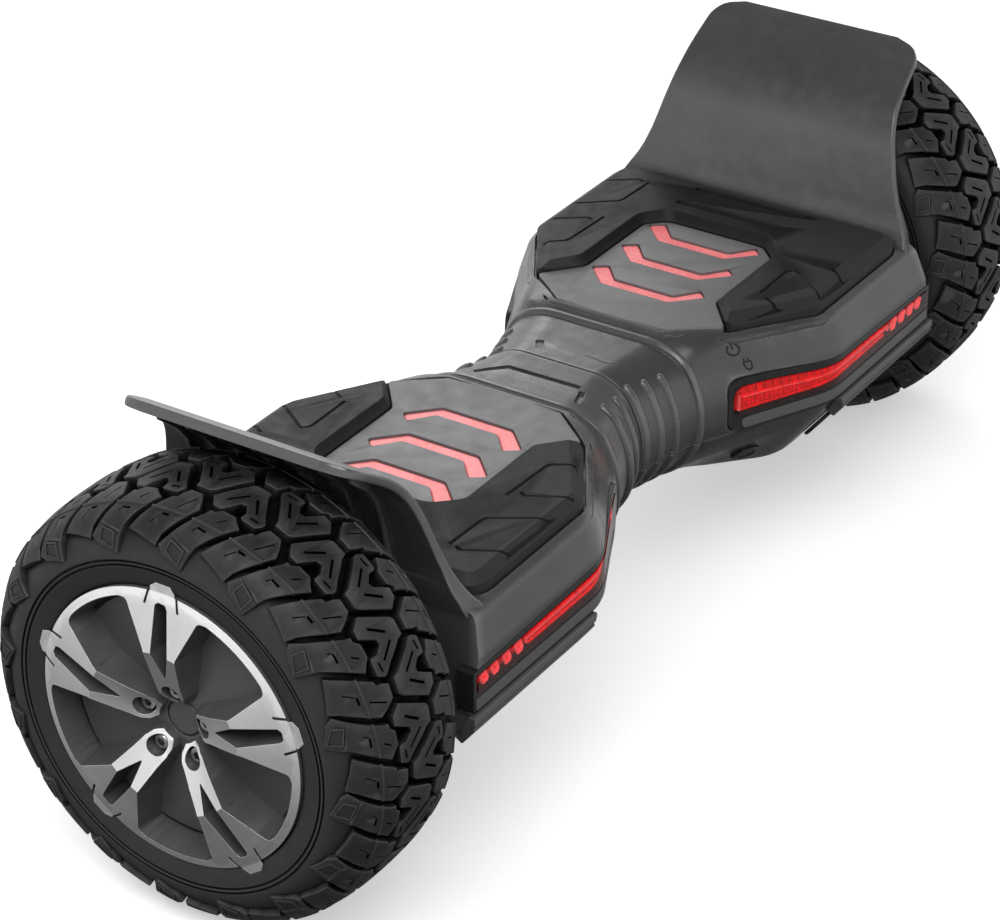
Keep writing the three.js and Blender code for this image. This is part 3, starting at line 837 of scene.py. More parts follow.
def light_guide():
    parts = [prism_z(offset(fillet(PANEL, PANEL_RADII, 4), -2.5), 31.8, 35.5)]
    for x0 in CHEVRONS:
        outline = chevron(x0, 0.3)
        levels = ((0, 33), (0, 39.4), (0.7, 40.0))
        rings = [[(x, y, z) for x, y in offset(outline, -inset)] for inset, z in levels]
        parts.append(loft("rib", rings))
    return union(*parts)


# The fine grooves in a mat, as plan paths: four on the front arm and three on the rear one.
GROOVES = [
    [(95.5, 69), (103.5, 58.5), (138, 57)],
    [(121, 83.5), (133.5, 64), (131.5, 61)],
    [(143, 84), (160.5, 59.5), (188, 58.5)],
    [(177.5, 84), (189.5, 65), (188, 62)],
    [(105, -57.5), (134.5, -57), (138, -60.5), (121, -84)],
    [(103, -61.5), (97, -71.5)],
    [(151, -75), (144, -85)],
]
MAT_TIP = (69.85, 57.36)


def rounding_tool(side):
    """Takes the sharp corner off the end of a mat's arm."""
    tip = np.array(MAT_TIP)
    outward, inward = np.array([0.851, 0.525]), np.array([0.778, -0.628])
    arc = fillet([tuple(tip + 30 * outward), MAT_TIP, tuple(tip + 30 * inward)], [0, 6, 0], 8)[1:-1]
    outer = [tuple(tip - 6 * (outward + inward)), tuple(np.array(arc[-1]) + (-1.2, -1.6)), *reversed(arc),
             tuple(np.array(arc[0]) + (-1.2, 1.9))]
    return prism_z([(x, side * y) for x, y in outer], 30, 60)


def foot_mat():
    """A U of rubber with sloped edges: a prism cut by a plane along each edge, then notched and grooved."""
    outer = fillet(mirrored([(71.2, 58.2), (116.3, 86), (209.4, 86)]), [3, 15, 13, 13, 15, 3], 5)
    base_z, edge_z, crown = 31.8, 40.6, 46.2
    bevel_slope = math.tan(math.radians(35))
    mat = prism_z(outer, base_z, 60)
    bm = bmesh.new()
    bm.from_mesh(mat.data)
    planes = []
    for p, q in zip(outer, outer[1:] + outer[:1]):
        d = Vector((q[0] - p[0], q[1] - p[1]))
        if d.length < 0.05 or (abs(p[0] - q[0]) < 1 and p[0] < 80):
            continue
        d.normalize()
        inward = Vector((-d.y, d.x)) if area(outer) > 0 else Vector((d.y, -d.x))
        normal = Vector((-inward.x * bevel_slope, -inward.y * bevel_slope, 1)).normalized()
        planes.append((Vector((p[0], p[1], edge_z)), normal))
    for s in (-1, 1):
        planes.append((Vector((0, 40 * s, crown)), Vector((0, 0.045 * s, 1)).normalized()))
    planes.append((Vector((165, 0, crown)), Vector((0.04, 0, 1)).normalized()))
    for point, normal in planes:
        made = bmesh.ops.bisect_plane(bm, geom=bm.verts[:] + bm.edges[:] + bm.faces[:], dist=1e-5,
                                      plane_co=point, plane_no=normal, clear_outer=True)["geom_cut"]
        if any(isinstance(e, bmesh.types.BMEdge) for e in made):
            bmesh.ops.holes_fill(bm, edges=[e for e in bm.edges if e.is_boundary], sides=0)
    bmesh.ops.dissolve_limit(bm, angle_limit=0.01, verts=bm.verts, edges=bm.edges)
    top_edges = [e for e in bm.edges
                 if e.calc_face_angle(0) > 0.25 and min(v.co.z for v in e.verts) > edge_z - 0.5]
    bmesh.ops.bevel(bm, geom=top_edges, offset=1.6, segments=3, profile=0.6, affect="EDGES",
                    clamp_overlap=True)
    bmesh.ops.recalc_face_normals(bm, faces=bm.faces)
    bm.to_mesh(mat.data)
    bm.free()
    notch = mirrored([(30, 70), (62.5, 63.3), (91.2, 40.1), (150.2, 40.1), (161, 29.5)])
    notch = fillet(notch, [0, 0, 8, 8, 10, 10, 8, 8, 0, 0], 6)
    levels = ((0, 30), (0, 41), (2.4, 44.6), (3.1, 45.8), (4.6, 47.5), (5.0, 60))
    rings = [[(x, y, z) for x, y in offset(notch, grow)] for grow, z in levels]
    mat = cut(mat, loft("notch", rings), rounding_tool(1), rounding_tool(-1))
    tools = []
    for groove in GROOVES:
        path = [(x, y, top_of(mat, x, y) - 0.1) for x, y in dense_path(groove, 2.0)]
        tools.append(tube("line", path, 1.0, 6))
    for x in (175.5, 197.0):
        path = [(x, y, top_of(mat, x, y) + 1.0) for y in np.linspace(-33, 33, 23)]
        tools.append(tube("line", path, 2.7, 10))
    return cut(mat, *tools)


def top_of(obj, x, y):
    """The height of a piece's upper surface at a point of the plan."""
    hit, place_hit, _, _ = obj.ray_cast((x, y, 90), (0, 0, -1))
    return place_hit.z if hit else 40.0


def dense_path(points, step):
    """A path with its inner corners eased and points every step or so."""
    rounded = []
    pts = [np.array(p, float) for p in points]
    for i, p in enumerate(pts):
        if 0 < i < len(pts) - 1:
            a, b = pts[i - 1] - p, pts[i + 1] - p
            d = min(3.0, 0.4 * np.linalg.norm(a), 0.4 * np.linalg.norm(b))
            a, b = a / np.linalg.norm(a) * d, b / np.linalg.norm(b) * d
            rounded += [p + a, p + a * 0.35 + b * 0.35 * 0.3, p + b]
        else:
            rounded.append(p)
    out = [rounded[0]]
    for p, q in zip(rounded, rounded[1:]):
        n = max(1, int(np.linalg.norm(q - p) / step))
        out += [p + (q - p) * k / n for k in range(1, n + 1)]
    return [tuple(p) for p in out]


# ------------------------------------------------------------------ lights


def light_strip(side, x0, x1, out, z_low, z_high, depth=1.2, step=3.0):
    """A thin bar that follows the light's curve between two heights, given as functions of x."""
    rings = []
    for x in list(np.arange(x0, x1, step)) + [x1]:
        y = light_path(x)
        rings.append([(x, side * (y + out), z_low(x)), (x, side * (y + out), z_high(x)),
                      (x, side * (y + out - depth), z_high(x)), (x, side * (y + out - depth), z_low(x))])
    return loft("strip", rings)


def light_insides(side):
    """What shows through a lens: a back plate, dim ribs, bright lines and four cut cells by the wheel."""
    def top(x):
        return smooth_lookup(*zip(*LENS_TOP), x, 6)

    def mid(x):
        return -2.4 + (top(x) + 2.4) * 0.56

    def uneven_top(x):
        return mid(x) - 1.5 - 0.8 * random.random()

    back = light_strip(side, 61, 221, -3.2, lambda x: -1.6, lambda x: top(x) - 0.9, 1.0)
    bright = [light_strip(side, 66, 180, -0.5, lambda x: mid(x) - 0.3, lambda x: mid(x) + 0.3, 1.0)]
    bright.append(light_strip(side, 63.4, 64.0, -0.8, lambda x: -0.9, lambda x: mid(x) + 1.2, 1.0, 0.6))
    bright.append(light_strip(side, 180, 181, -0.5, lambda x: mid(x) - 2.4, lambda x: mid(x) + 0.3, 1.0, 1.0))
    dim = [light_strip(side, 64, 178, -1.4, lambda x: -1.5, lambda x: -0.8, 1.2)]
    dim.append(light_strip(side, 64, 178, -1.6, lambda x: top(x) - 1.5, lambda x: top(x) - 0.9, 1.0))
    dim.append(light_strip(side, 66, 180, -1.1, lambda x: mid(x) - 0.9, lambda x: mid(x) + 0.9, 1.4))
    for x in np.arange(66, 176, 4.8):
        dim.append(light_strip(side, x, x + 2.3, -1.9,
                               lambda x: mid(x) + 1.5, lambda x: top(x) - 2.2, 1.2, 2.3))
    for x in np.arange(65, 176, 2.6):
        z = -0.4 + 0.6 * random.random()
        dim.append(light_strip(side, x, x + 1.1, -2.2, lambda x: z, uneven_top, 1.0, 1.1))
    for x in (187, 197, 207, 216):
        y = light_path(x)
        low, high = -1.3, top(x) - 1.2
        centre = (low + high) / 2
        cell = [(x - 3.4, centre - 1.4), (x - 1.0, high), (x + 2.2, high - 0.2), (x + 3.6, centre + 1.2),
                (x + 1.4, low), (x - 2.4, low + 0.2)]
        for shrink in (0.0, 1.2):
            outer = offset(cell, -shrink)
            inner = offset(cell, -shrink - 0.4)
            front, rear = side * (y - 0.4), side * (y - 1.3)
            loops = [[(p[0], front, p[1]), (q[0], front, q[1]), (q[0], rear, q[1]), (p[0], rear, p[1])]
                     for p, q in zip(outer, inner)]
            bright.append(loft("cell", loops, closed=True))
        gem = [[(px, side * (y - 1.7), pz) for px, pz in offset(cell, -0.6)],
               [(px, side * (y - 1.2), pz) for px, pz in offset(cell, -1.5)]]
        dim.append(loft("gem", gem))
    return back, merge("dim", dim), merge("bright", bright)


def bumper_strip(side):
    """A ribbed strip along the hem of the bottom shell."""
    profile = [(95.2, -13.1), (98.4, -13.1), (98.7, -13.6), (98.7, -17.0), (98.0, -17.7), (98.0, -18.3),
               (98.5, -18.7), (98.3, -19.6), (92.2, -27.8), (91.2, -28.2), (88.2, -26.2)]
    strip = prism_x([(side * y, z) for y, z in profile], 123, 229)
    strip = common(strip, prism_y([(123, -13), (229, -13), (230.5, -40), (133, -40)], -130, 130))
    return cut(strip, body_solid())


# ------------------------------------------------------------------ wheel

WHEEL_X = 283.0
CROWN = 108.0
PITCHES = 16
TREAD_START = 0.463
SLOT_DEPTH = 2.4
# Half of the tread's section, as (distance from the middle, radius).
TREAD_PROFILE = [(0, 108), (9, 107.9), (17, 107.4), (25, 106.0), (31, 103.6), (35.5, 100.2), (39, 95.8),
                 (41.0, 91), (41.8, 87), (41.6, 84)]


def tread_curve():
    """The tread's section from side to side, with its length measured from the middle."""
    knots = np.array([(-u, r) for u, r in reversed(TREAD_PROFILE[1:])] + TREAD_PROFILE, float)
    run = arc_length(knots)
    run -= run[len(TREAD_PROFILE) - 1]
    return run, knots


RUN, KNOTS = tread_curve()


def tread_point(p):
    """The place and the radius of the tread's surface at a distance p across it."""
    spread = p + np.linspace(-3, 3, 7)
    u = float(np.mean(np.interp(spread, RUN, KNOTS[:, 0])))
    r = float(np.mean(np.interp(spread, RUN, KNOTS[:, 1])))
    return u, r


def tread_block(outline, slots=(), base=-7.5, top=0.0, chamfer=0.4):
    """A block in flat tread space (across, around, height): sloped walls, a chamfer and sunk slots."""
    if area(outline) < 0:
        outline = outline[::-1]
    holes = []
    for a, b, width in slots:
        a, b = np.array(a, float), np.array(b, float)
        d = (b - a) / np.linalg.norm(b - a)
        n = np.array([-d[1], d[0]]) * width / 2
        holes.append([tuple(a + n), tuple(b + n), tuple(b - n), tuple(a - n)])
    verts, faces = [], []
    rings = [(0.55, base), (0.1, top - chamfer), (-chamfer * 0.7, top)]
    for grow, h in rings:
        verts += [(x, y, h) for x, y in offset(outline, grow)]
    n = len(outline)
    for k in range(2):
        for i in range(n):
            j = (i + 1) % n
            faces.append((k * n + i, k * n + j, (k + 1) * n + j, (k + 1) * n + i))
    faces.append(tuple(reversed(range(n))))
    loops = [list(range(2 * n, 3 * n))]
    for hole in holes:
        start = len(verts)
        verts += [(x, y, top) for x, y in hole]
        verts += [(x, y, top - SLOT_DEPTH) for x, y in hole]
        loops.append(list(range(start, start + 4)))
        for i in range(4):
            j = (i + 1) % 4
            faces.append((start + i, start + j, start + 4 + j, start + 4 + i))
        faces.append(tuple(start + 4 + i for i in range(4)))
    order = [i for loop in loops for i in loop]
    for tri in tessellate_polygon([[Vector(verts[i]) for i in loop] for loop in loops]):
        faces.append(tuple(order[i] for i in tri))
    return verts, faces


# One pitch of the tread, as outlines (across, around) from the outboard side, and slots (start, end, width).
STRETCH = 1.018
TURN_CENTRE = 47.85
HOOK = [(-10.0, 26.8), (-15.5, 23.1), (-16.0, 18.9), (-7.5, 14.2), (-7.0, 11.7), (-10.8, 8.9), (-15.0, 8.9),
        (-15.7, 7.5), (-15.7, 0.9), (-12.8, -0.8), (-10.8, -0.9), (-5.9, 2.6), (1.0, 6.5), (3.9, 8.4),
        (7.5, 9.3), (7.7, 16.5), (6.3, 18.3)]
HOOK_SLOTS = [((-9.2, 20.3), (-0.6, 14.5), 1.3), ((-9.0, 5.1), (-0.6, 10.6), 1.3),
              ((-12.6, 5.9), (-12.3, 1.5), 1.1)]
PAD_LUG = [(-42.5, 17.4), (-39.2, 16.6), (-28.4, 9.8), (-21.2, 5.3), (-18.1, 9.0), (-16.4, 10.5),
           (-16.4, 17.0), (-19.2, 19.6), (-19.2, 21.6), (-21.8, 22.3), (-28.4, 25.6), (-38.8, 31.8),
           (-43.8, 35.5), (-47.4, 32.6), (-52.0, 20.0)]
PAD_LUG_SLOTS = [((-30.5, 20.6), (-30.7, 15.9), 1.0), ((-24.2, 14.8), (-20.6, 12.3), 0.7),
                 ((-32.8, 21.9), (-30.9, 20.9), 0.5)]
PAD_FRAME = [(-40.6, 28.6), (-42.8, 21.2), (-49.0, 22.2), (-45.4, 29.8)]
PAD_CREASE = [(-37.6, 29.6), (-38.4, 29.9), (-40.2, 25.5), (-42.4, 18.0), (-41.6, 17.8), (-39.4, 25.2)]
PLAIN_LUG = [(-45.0, 37.4), (-39.5, 35.6), (-28.4, 29.2), (-21.6, 26.1), (-16.8, 28.2), (-12.2, 31.0),
             (-11.9, 37.3), (-15.2, 38.9), (-18.6, 39.8), (-19.4, 42.0), (-21.2, 43.0), (-28.4, 47.4),
             (-40.0, 54.4)]
PLAIN_LUG_SLOTS = [((-30.2, 40.0), (-30.0, 36.4), 1.2), ((-35.6, 43.7), (-30.9, 40.6), 0.5),
                   ((-25.3, 35.3), (-16.9, 31.0), 0.7)]
RIDGES = [[(-27.9, low), (-27.1, low), (-27.1, high), (-27.9, high)]
          for low, high in ((9.6, 25.2), (29.0, 47.0))]


def pitch_blocks():
    """The blocks of one pitch, in flat tread space. The inboard half is the outboard half turned."""
    blocks = []
    for turned in (False, True):
        def turn(points):
            out = [(x, y * STRETCH) for x, y in points]
            return [(-x, TURN_CENTRE - y) for x, y in out] if turned else out

        for outline, slots, base in ((HOOK, HOOK_SLOTS, -7.5), (PAD_LUG, PAD_LUG_SLOTS, -6.5),
                                     (PLAIN_LUG, PLAIN_LUG_SLOTS, -6.5)):
            turned_slots = [(*turn([a, b]), width) for a, b, width in slots]
            blocks.append(tread_block(turn(outline), turned_slots, base))
        pad_frame = turn(PAD_FRAME)
        blocks.append(ring_block(offset(pad_frame, 0.7), pad_frame, 0.0, 0.45))
        for ridge in RIDGES:
            blocks.append(tread_block(turn(ridge), base=-1.0, top=0.6, chamfer=0.2))
        blocks.append(tread_block(turn(PAD_CREASE), base=-1.0, top=0.4, chamfer=0.2))
    return blocks


def ring_block(outer, inner, low, high):
    """A thin raised frame between two outlines."""
    loops = []
    for o, i in zip(outer, inner):
        loops.append([(o[0], o[1], low - 1), (o[0], o[1], high), (i[0], i[1], high), (i[0], i[1], low - 1)])
    n = len(loops)
    verts = [p for loop in loops for p in loop]
    faces = []
    for s in range(n):
        t = (s + 1) % n
        for i in range(4):
            j = (i + 1) % 4
            faces.append((s * 4 + i, s * 4 + j, t * 4 + j, t * 4 + i))
    return verts, faces


def slice_faces(bm, point, normal):
    bmesh.ops.bisect_plane(bm, geom=bm.verts[:] + bm.edges[:] + bm.faces[:], dist=1e-4,
                           plane_co=point, plane_no=normal)


def tread_mesh():
    """One pitch of blocks, sliced finely, wrapped round the tyre and repeated."""
    bm = bmesh.new()
    for verts, faces in pitch_blocks():
        made = [bm.verts.new(v) for v in verts]
        for f in faces:
            if len(set(f)) > 2:
                try:
                    bm.faces.new([made[i] for i in f])
                except ValueError:
                    pass
    bmesh.ops.recalc_face_normals(bm, faces=bm.faces)
    for p in (10, 18, 22, 25, 28, 31, 34, 37, 40, 43, 46, 49):
        for s in (-1, 1):
            slice_faces(bm, (s * p, 0, 0), (1, 0, 0))
    for q in range(-12, 60, 6):
        slice_faces(bm, (0, q, 0), (0, 1, 0))
    bm.verts.index_update()
    flat = [v.co.copy() for v in bm.verts]
    flat_faces = [[v.index for v in f.verts] for f in bm.faces]
    bm.free()
    mapped = []
    for p, s, h in flat:
        u, r = tread_point(-p)
        u2, r2 = tread_point(-p + 0.5)
        u1, r1 = tread_point(-p - 0.5)
        d = Vector((u2 - u1, r2 - r1)).normalized()
        mapped.append((u - d.y * h, r + d.x * h, s / CROWN))
    verts, faces = [], []
    for k in range(PITCHES):
        base = len(verts)
        spin = 2 * math.pi * k / PITCHES + TREAD_START
        verts += [(WHEEL_X + u, r * math.cos(spin + a), r * math.sin(spin + a)) for u, r, a in mapped]
        faces += [tuple(base + i for i in f) for f in flat_faces]
    return verts, faces


def tyre_carcass():
    """The tyre under its blocks: a side wall with two fine rings, and the floor of the tread."""
    side = [(66.5, 30), (70.7, 35.5), (71.0, 38.2), (73, 39.2), (79.6, 40.2), (80.4, 40.3), (80.7, 39.4),
            (81.3, 39.4), (81.6, 40.4), (82.5, 40.5), (82.8, 39.6), (83.4, 39.6), (83.7, 40.6), (86.5, 40.4),
            (90, 39.2), (94, 36.4), (97.6, 32.2), (100, 26.5), (101, 18), (101.2, 0)]
    profile = [(r, WHEEL_X + u) for r, u in side] + [(r, WHEEL_X - u) for r, u in reversed(side[:-1])]
    profile += [(66.5, WHEEL_X - 20), (66.5, WHEEL_X + 20)]
    return lathe("carcass", profile, 160)


# The face of the wheel cover, as (radius, x).
FACE = [(0, 313), (10, 316), (17, 320.8), (28, 324.4), (41.2, 328), (66, 324), (70.6, 322.8), (80, 322.2)]


def face_x(r):
    return float(np.interp(r, *zip(*FACE)))


def spoke_frame(angle, v, w):
    """A point v out along a spoke and w to its side, as (y, z)."""
    return (v * math.cos(angle) - w * math.sin(angle), v * math.sin(angle) + w * math.cos(angle))


SPOKES = [math.radians(90 + 72 * k) for k in range(5)]


def under_face(limit):
    """The solid under the cover's face, out to a radius."""
    radii = [8, 12, 17, 22, 28, 34, 39, 41.2, 44, 50, 56, 62, 66, 68, 70.6, 74, limit]
    profile = [(8, 300)] + [(r, face_x(r)) for r in radii] + [(limit, 300)]
    return lathe("face", profile, 160)


def pocket_outline(middle):
    """The opening between two spokes, round the angle midway between them."""
    before, after = middle - math.pi / 5, middle + math.pi / 5
    edge = [(13.5, 5.2), (17, 6.5), (22, 6.9), (28, 7.6), (41.2, 9.0), (50, 13.3), (57, 16.8), (62.4, 19.4)]
    left = [spoke_frame(before, v, w) for v, w in edge]
    right = [spoke_frame(after, v, -w) for v, w in reversed(edge)]
    a0 = math.atan2(left[-1][1], left[-1][0])
    a1 = math.atan2(right[0][1], right[0][0])
    a1 += 2 * math.pi if a1 < a0 else 0
    arc = [(66.6 * math.cos(a), 66.6 * math.sin(a)) for a in np.linspace(a0 + 0.06, a1 - 0.06, 9)]
    centre = (0.5 * math.cos(middle), 0.5 * math.sin(middle))
    hub = [spoke_frame(after, 9.6, -0.4), centre, spoke_frame(before, 9.6, 0.4)]
    straight = [1] * (len(edge) - 1)
    radii = straight + [7, 6] + [2] * 7 + [6, 7] + straight + [0.5, 0, 0.5]
    return fillet(left + arc + right + hub, radii, 4)


def regular(centre, radius, count):
    """Points round a circle in the plane of the wheel."""
    y, z = centre
    angles = np.arange(count) * 2 * math.pi / count
    return [(y + radius * math.cos(t), z + radius * math.sin(t)) for t in angles]


def wheel_cover():
    """A dished cover: five split spokes that run out into tabs, with pockets, bolt holes and slits."""
    cover = common(lathe("body", [(8, 309), (8, 335), (70.4, 335), (70.4, 309)], 160), under_face(79))
    tab = [(62, -6.4), (71.5, -6.6), (74.9, -4.2), (74.9, 3.4), (72.5, 6.6), (62, 6.4)]
    tabs = [prism_x([spoke_frame(angle, v, w) for v, w in tab], 322.0, 340) for angle in SPOKES]
    cover = union(cover, common(merge("tabs", tabs), under_face(79)))
    for angle in SPOKES:
        outline = pocket_outline(angle + math.pi / 5)
        levels = ((-2.6, 308), (-2.4, 310.5), (0, 324), (0.8, 335))
        rings = [[(x, y, z) for y, z in offset(outline, grow)] for grow, x in levels]
        cover = cut(cover, loft("pocket", rings))
    cover = cut(cover, disc("hub", [(10.6, 305), (10.6, 335)], 60))
    tools = []
    for angle in SPOKES:
        slot = [(26.6, 0), (41.0, 4.5), (64.4, 3.4), (66.0, 1.6), (65.6, -2.2), (63.6, -3.2), (41.0, -4.5)]
        outline = fillet([spoke_frame(angle, v, w) for v, w in slot], [0.6, 2, 1.2, 1, 1, 1.2, 2], 3)
        levels = ((-1.1, 308), (0, 324), (0.3, 335))
        tools.append(loft("slot", [[(x, y, z) for y, z in offset(outline, grow)] for grow, x in levels]))
        tools.append(prism_x(regular(spoke_frame(angle, 17, 0), 4.9, 28), 312, 335))
        for w in (-1, 1):
            slit = [(63.6, 9.6 * w), (76, 6.9 * w), (76, 5.9 * w), (63.6, 8.3 * w)]
            tools.append(prism_x([spoke_frame(angle, *p) for p in slit], 321.6, 335))
    return cut(cover, *tools)


def on_cover_face(polygon):
    """Whether a face of the cover belongs to its machined front."""
    c = polygon.center
    r = math.hypot(c.y, c.z)
    return abs(c.x - face_x(r)) < 0.35 and polygon.normal.x > 0.8 and r > 10


def cover_floor():
    """The plate behind the spokes, with the hub cap in its middle."""
    profile = [(0.2, 312.6), (8.2, 312.6), (8.6, 312.2), (8.7, 311.2), (9.2, 311.2), (9.4, 312.6),
               (12, 313.2), (20, 312.4), (34, 311.3), (52, 310.8), (61.5, 310.6), (63.2, 308.0),
               (65, 307.6), (65.2, 306.6), (0.2, 306.4)]
    return disc("floor", profile, 120)


def socket_bolt(angle):
    y, z = spoke_frame(angle, 17, 0)
    profile = [(2.4, 299.2), (2.4, 313.4), (3.9, 313.4), (3.9, 317.0), (3.5, 317.5), (0.01, 317.5)]
    body = aimed_turn("bolt", Vector((0, y, z)), Vector((1, 0, 0)), profile, 28)
    return cut(body, prism_x(regular((y, z), 2.1, 6), 315.2, 320))


# ------------------------------------------------------------------ assembly

for side in SIDES:
    half = side + "_half"
    wheel = side + "_wheel"
    for piece, ending, key, node, slot in (
        (top_shell(side), "top_shell_skin", "shell", "top_shell", "shell"),
        (bottom_shell(side), "bottom_shell_skin", "shell", "bottom_shell", "shell"),
        (deck_panel(), "deck_panel_skin", "panel", "deck_panel", "panel"),
        (light_guide(), "deck_glow", "glow", "deck_light_guide", "light_guide"),
        (foot_mat(), "foot_mat_skin", "mat", "foot_mat", "mat"),
    ):
        place(piece, f"{side}_{ending}", side, half, [M[key]], [f"{side}_{node}"])

    for s in (1, -1):
        red = (s > 0) == (side == "left")
        name = side + ("_rear" if red else "_front")
        slot = "tail_lens" if red else "head_lens"
        bezel = cut(bezel_space(s), lens_space(s, 0.2), insert_space(s, 0.2))
        place(bezel, name + "_bezel_skin", side, half, [M["trim"]], [name + "_light_bezel"])
        place(insert_space(s), name + "_light_insert", side, half, [M["hem"]])
        hollow = light_band(s, 61, 221, 0.1, 8, [(x, z - 1.3) for x, z in LENS_TOP], -1.2, 6)
        lens = M["red_lens" if red else "clear_lens"]
        skin = cut(lens_space(s), hollow)
        place(skin, name + "_lens_skin", side, half, [lens], [name + "_light_lens"])
        colour = "red" if red else "white"
        for piece, ending, tone in zip(light_insides(s), ("back", "ribs", "glow"), ("deep", "dim", "bright")):
            place(piece, f"{name}_lens_{ending}", side, half, [M[f"{colour}_{tone}"]])
        strip = bumper_strip(s)
        place(strip, name + "_bumper_skin", side, half, [M["hem"]], [name + "_bumper_strip"])

    tread = new_object("tread", *tread_mesh())
    place(tread, side + "_tyre_tread", side, wheel, [M["tyre"]], weighted=False)
    place(tyre_carcass(), side + "_tyre_carcass", side, wheel, [M["tyre"]], [side + "_tyre"])
    cover = wheel_cover()
    for polygon in cover.data.polygons:
        polygon.material_index = 0 if on_cover_face(polygon) else 1
    place(cover, side + "_wheel_cover_skin", side, wheel, [M["machined"], M["wheel_paint"]],
          [side + "_wheel_cover"], sharp=20)
    place(cover_floor(), side + "_wheel_cover_floor", side, wheel, [M["wheel_paint"]])
    for k, angle in enumerate(SPOKES):
        place(socket_bolt(angle), f"{side}_bolt_skin_{k + 1}", side, wheel, [M["steel"]],
              [f"{side}_wheel_bolt_{k + 1}"])

# Pieces that only one half has
# A dark plate of painted shade across the split between the halves.
place(split_shade_plate(), "pivot_split_painted_shade", "left", "left_half", [M["dark"]])
place(icon_marks(), "right_flank_signs", "right", "right_half", [M["trim"]])
button_profile = [(9.4, -9), (9.4, -6.2), (7.5, -6.0), (7.5, 0.9), (7.1, 1.5), (5.4, 1.6), (5.0, 1.0),
                  (0.01, 1.2)]
button = aimed_turn("button", BUTTON, BUTTON_OUT, button_profile)
place(button, "power_button_skin", "right", "power_button", [M["trim"]], ["power_button"])
cap_profile = [(10.6, 0.7), (10.8, 1.6), (10.3, 2.5), (9.0, 2.8), (8.6, 2.4), (0.01, 2.5)]
cap = aimed_turn("cap", PORT, PORT_OUT, cap_profile)
tab_centre = PORT + PORT_UP * 11.2 + PORT_OUT * 1.7
tab_section = [(-3, -1), (3, -1), (3, 0.9), (-3, 0.9)]
tab = loft("tab", [[tab_centre + PORT_UP * u + PORT_OUT * n + Vector((x, 0, 0)) for u, n in tab_section]
                   for x in (-4, 4)])
hinge = PORT + PORT_UP * 13.5 + PORT_OUT * 1.9
barrel = tube("hinge", [hinge - Vector((5, 0, 0)), hinge + Vector((5, 0, 0))], 1.2, 16)
place(union(cap, tab, barrel), "charge_cap_skin", "right", "charge_cap", [M["mat"]], ["charge_cap"])

# The CAD nodes that stay as they are, by the ends of their names, and their materials.
CARRIED = {
    "frame": "cast", "sensor_board": "board", "axle": "steel", "motor_stator": "winding", "wheel_rim": "cast",
    "motor_cover": "cast", "pivot_tube": "steel", "pivot_collar": "steel", "pivot_bush": "bush",
    "battery_pack": "cells", "main_board": "board", "charge_socket": "trim", "plunger": "mat",
}
for node, obj in frame["nodes"].items():
    for ending, key in CARRIED.items():
        if node.endswith(ending):
            obj.data.materials.clear()
            obj.data.materials.append(M[key])

# ------------------------------------------------------------------ stage, light and camera

GROUND = -0.0005


def by_ray(nodes, links, kind, when_true, otherwise):
    """One shader for one kind of ray and another for the rest."""
    path = nodes.new("ShaderNodeLightPath")
    mix = nodes.new("ShaderNodeMixShader")
    links.new(path.outputs[kind], mix.inputs["Fac"])
    links.new(otherwise, mix.inputs[1])
    links.new(when_true, mix.inputs[2])
    return mix.outputs[0]


def height_ramp(nodes, links, vector, stops):
    """Brightness by the height of a direction, from -1 straight down to 1 straight up."""
    split = nodes.new("ShaderNodeSeparateXYZ")
    links.new(vector, split.inputs[0])
    shift = nodes.new("ShaderNodeMath")
    shift.operation = "MULTIPLY_ADD"
    shift.inputs[1].default_value = 0.5
    shift.inputs[2].default_value = 0.5
    links.new(split.outputs["Z"], shift.inputs[0])
    return ramp(nodes, links, shift.outputs[0], [(z * 0.5 + 0.5, value) for z, value in stops])


reach = 8000
floor = new_object("floor", [(-reach, -reach, 0), (reach, -reach, 0), (reach, reach, 0), (-reach, reach, 0)],
                   [(0, 1, 2, 3)])
floor.data.transform(Matrix.Scale(MM, 4))
floor.location.z = GROUND
floor_material, nodes, links, shader = node_material("studio_floor")
tone = ramp(nodes, links, add_noise(nodes, links, 3, 3), [(0.3, grey(0.84)), (0.7, grey(0.88))])
links.new(tone, shader.inputs["Base Color"])
links.new(tone, shader.inputs["Emission Color"])
shader.inputs["Emission Strength"].default_value = 0.55
shader.inputs["Roughness"].default_value = 0.7
glossy_side = nodes.new("ShaderNodeEmission")
geometry = nodes.new("ShaderNodeNewGeometry")
mirror_stops = [(0.0, 1.0), (0.26, 0.95), (0.5, 0.42), (0.75, 0.16)]
mirrored_floor = height_ramp(nodes, links, geometry.outputs["Incoming"], mirror_stops)
links.new(mirrored_floor, glossy_side.inputs["Color"])
diffuse_side = nodes.new("ShaderNodeEmission")
diffuse_side.inputs["Color"].default_value = (0.12, 0.12, 0.12, 1)
seen = by_ray(nodes, links, "Is Glossy Ray", glossy_side.outputs[0], diffuse_side.outputs[0])
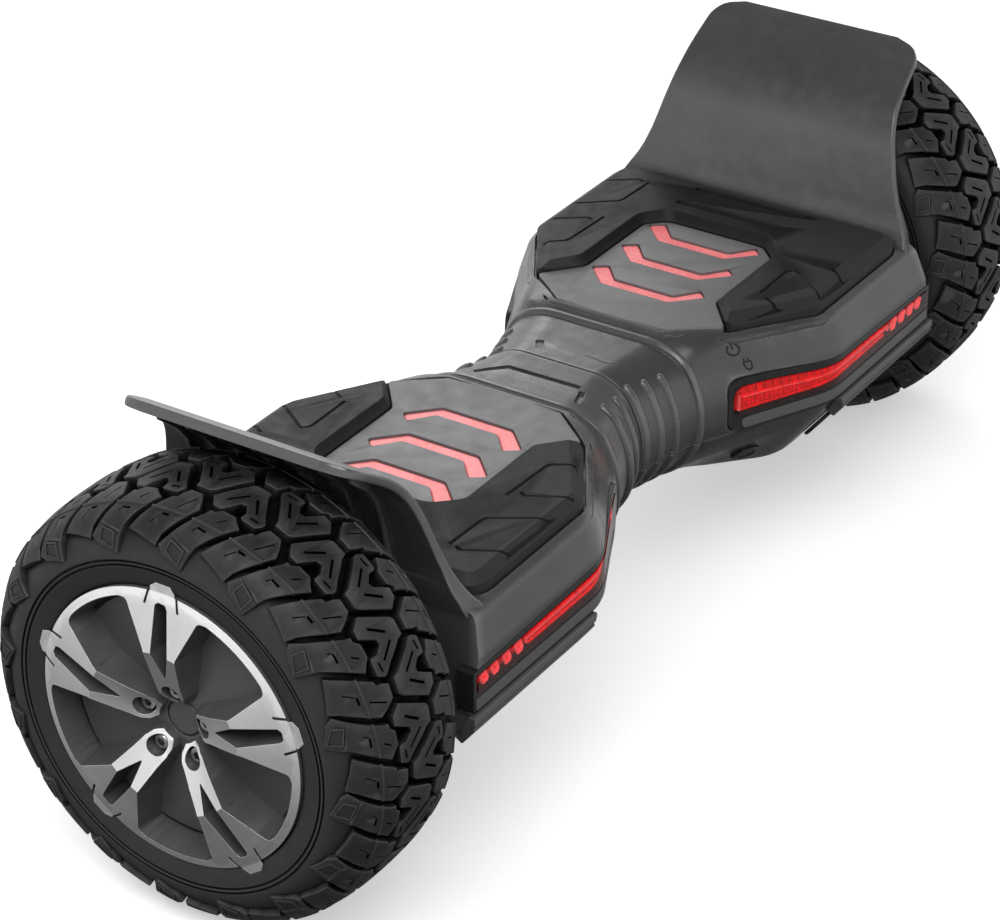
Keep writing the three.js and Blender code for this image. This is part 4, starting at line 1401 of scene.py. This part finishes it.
seen = by_ray(nodes, links, "Is Camera Ray", shader.outputs[0], seen)
links.new(seen, nodes["Material Output"].inputs["Surface"])
floor.data.materials.append(floor_material)

world = bpy.data.worlds.new("studio")
scene.world = world
world.use_nodes = True
nodes, links = world.node_tree.nodes, world.node_tree.links
direction = nodes.new("ShaderNodeTexCoord").outputs["Generated"]
skies = {}
SKY_STOPS = {
    "camera": [(-1, 1.0), (1, 1.0)],
    "glossy": [(-0.3, 0.9), (0.0, 1.15), (0.22, 1.2), (0.4, 0.6), (0.6, 0.34), (0.8, 0.14), (1.0, 0.12)],
    "diffuse": [(-0.2, 0.06), (0.1, 0.26), (0.5, 0.45), (1.0, 0.6)],
}
for kind, stops in SKY_STOPS.items():
    sky = nodes.new("ShaderNodeBackground")
    links.new(height_ramp(nodes, links, direction, stops), sky.inputs["Color"])
    skies[kind] = sky.outputs[0]
seen = by_ray(nodes, links, "Is Glossy Ray", skies["glossy"], skies["diffuse"])
seen = by_ray(nodes, links, "Is Camera Ray", skies["camera"], seen)
links.new(seen, nodes["World Output"].inputs["Surface"])
scene.view_settings.view_transform = "Standard"


def area_light(name, location, target, size, power):
    data = bpy.data.lights.new(name, "AREA")
    data.shape = "RECTANGLE"
    data.size, data.size_y = size
    data.energy = power
    light = bpy.data.objects.new(name, data)
    scene.collection.objects.link(light)
    light.location = location
    light.rotation_euler = (Vector(target) - Vector(location)).to_track_quat("-Z", "Y").to_euler()


area_light("key", (-1.0, -0.45, 1.45), (0, 0, 0.1), (1.4, 1.0), 17)
area_light("back", (0.9, 1.2, 1.0), (0, 0, 0.15), (1.2, 0.6), 6)

camera_data = bpy.data.cameras.new("camera")
camera = bpy.data.objects.new("camera", camera_data)
scene.collection.objects.link(camera)
camera_data.sensor_width = 36
camera_data.lens = 121.1184
camera.location = (-1.2696, -0.7811, 0.8462 + AXLE_HEIGHT * MM)
camera.rotation_euler = Vector((0.727, 0.4674, -0.503)).to_track_quat("-Z", "Y").to_euler()
camera_data.clip_end = 30
scene.camera = camera
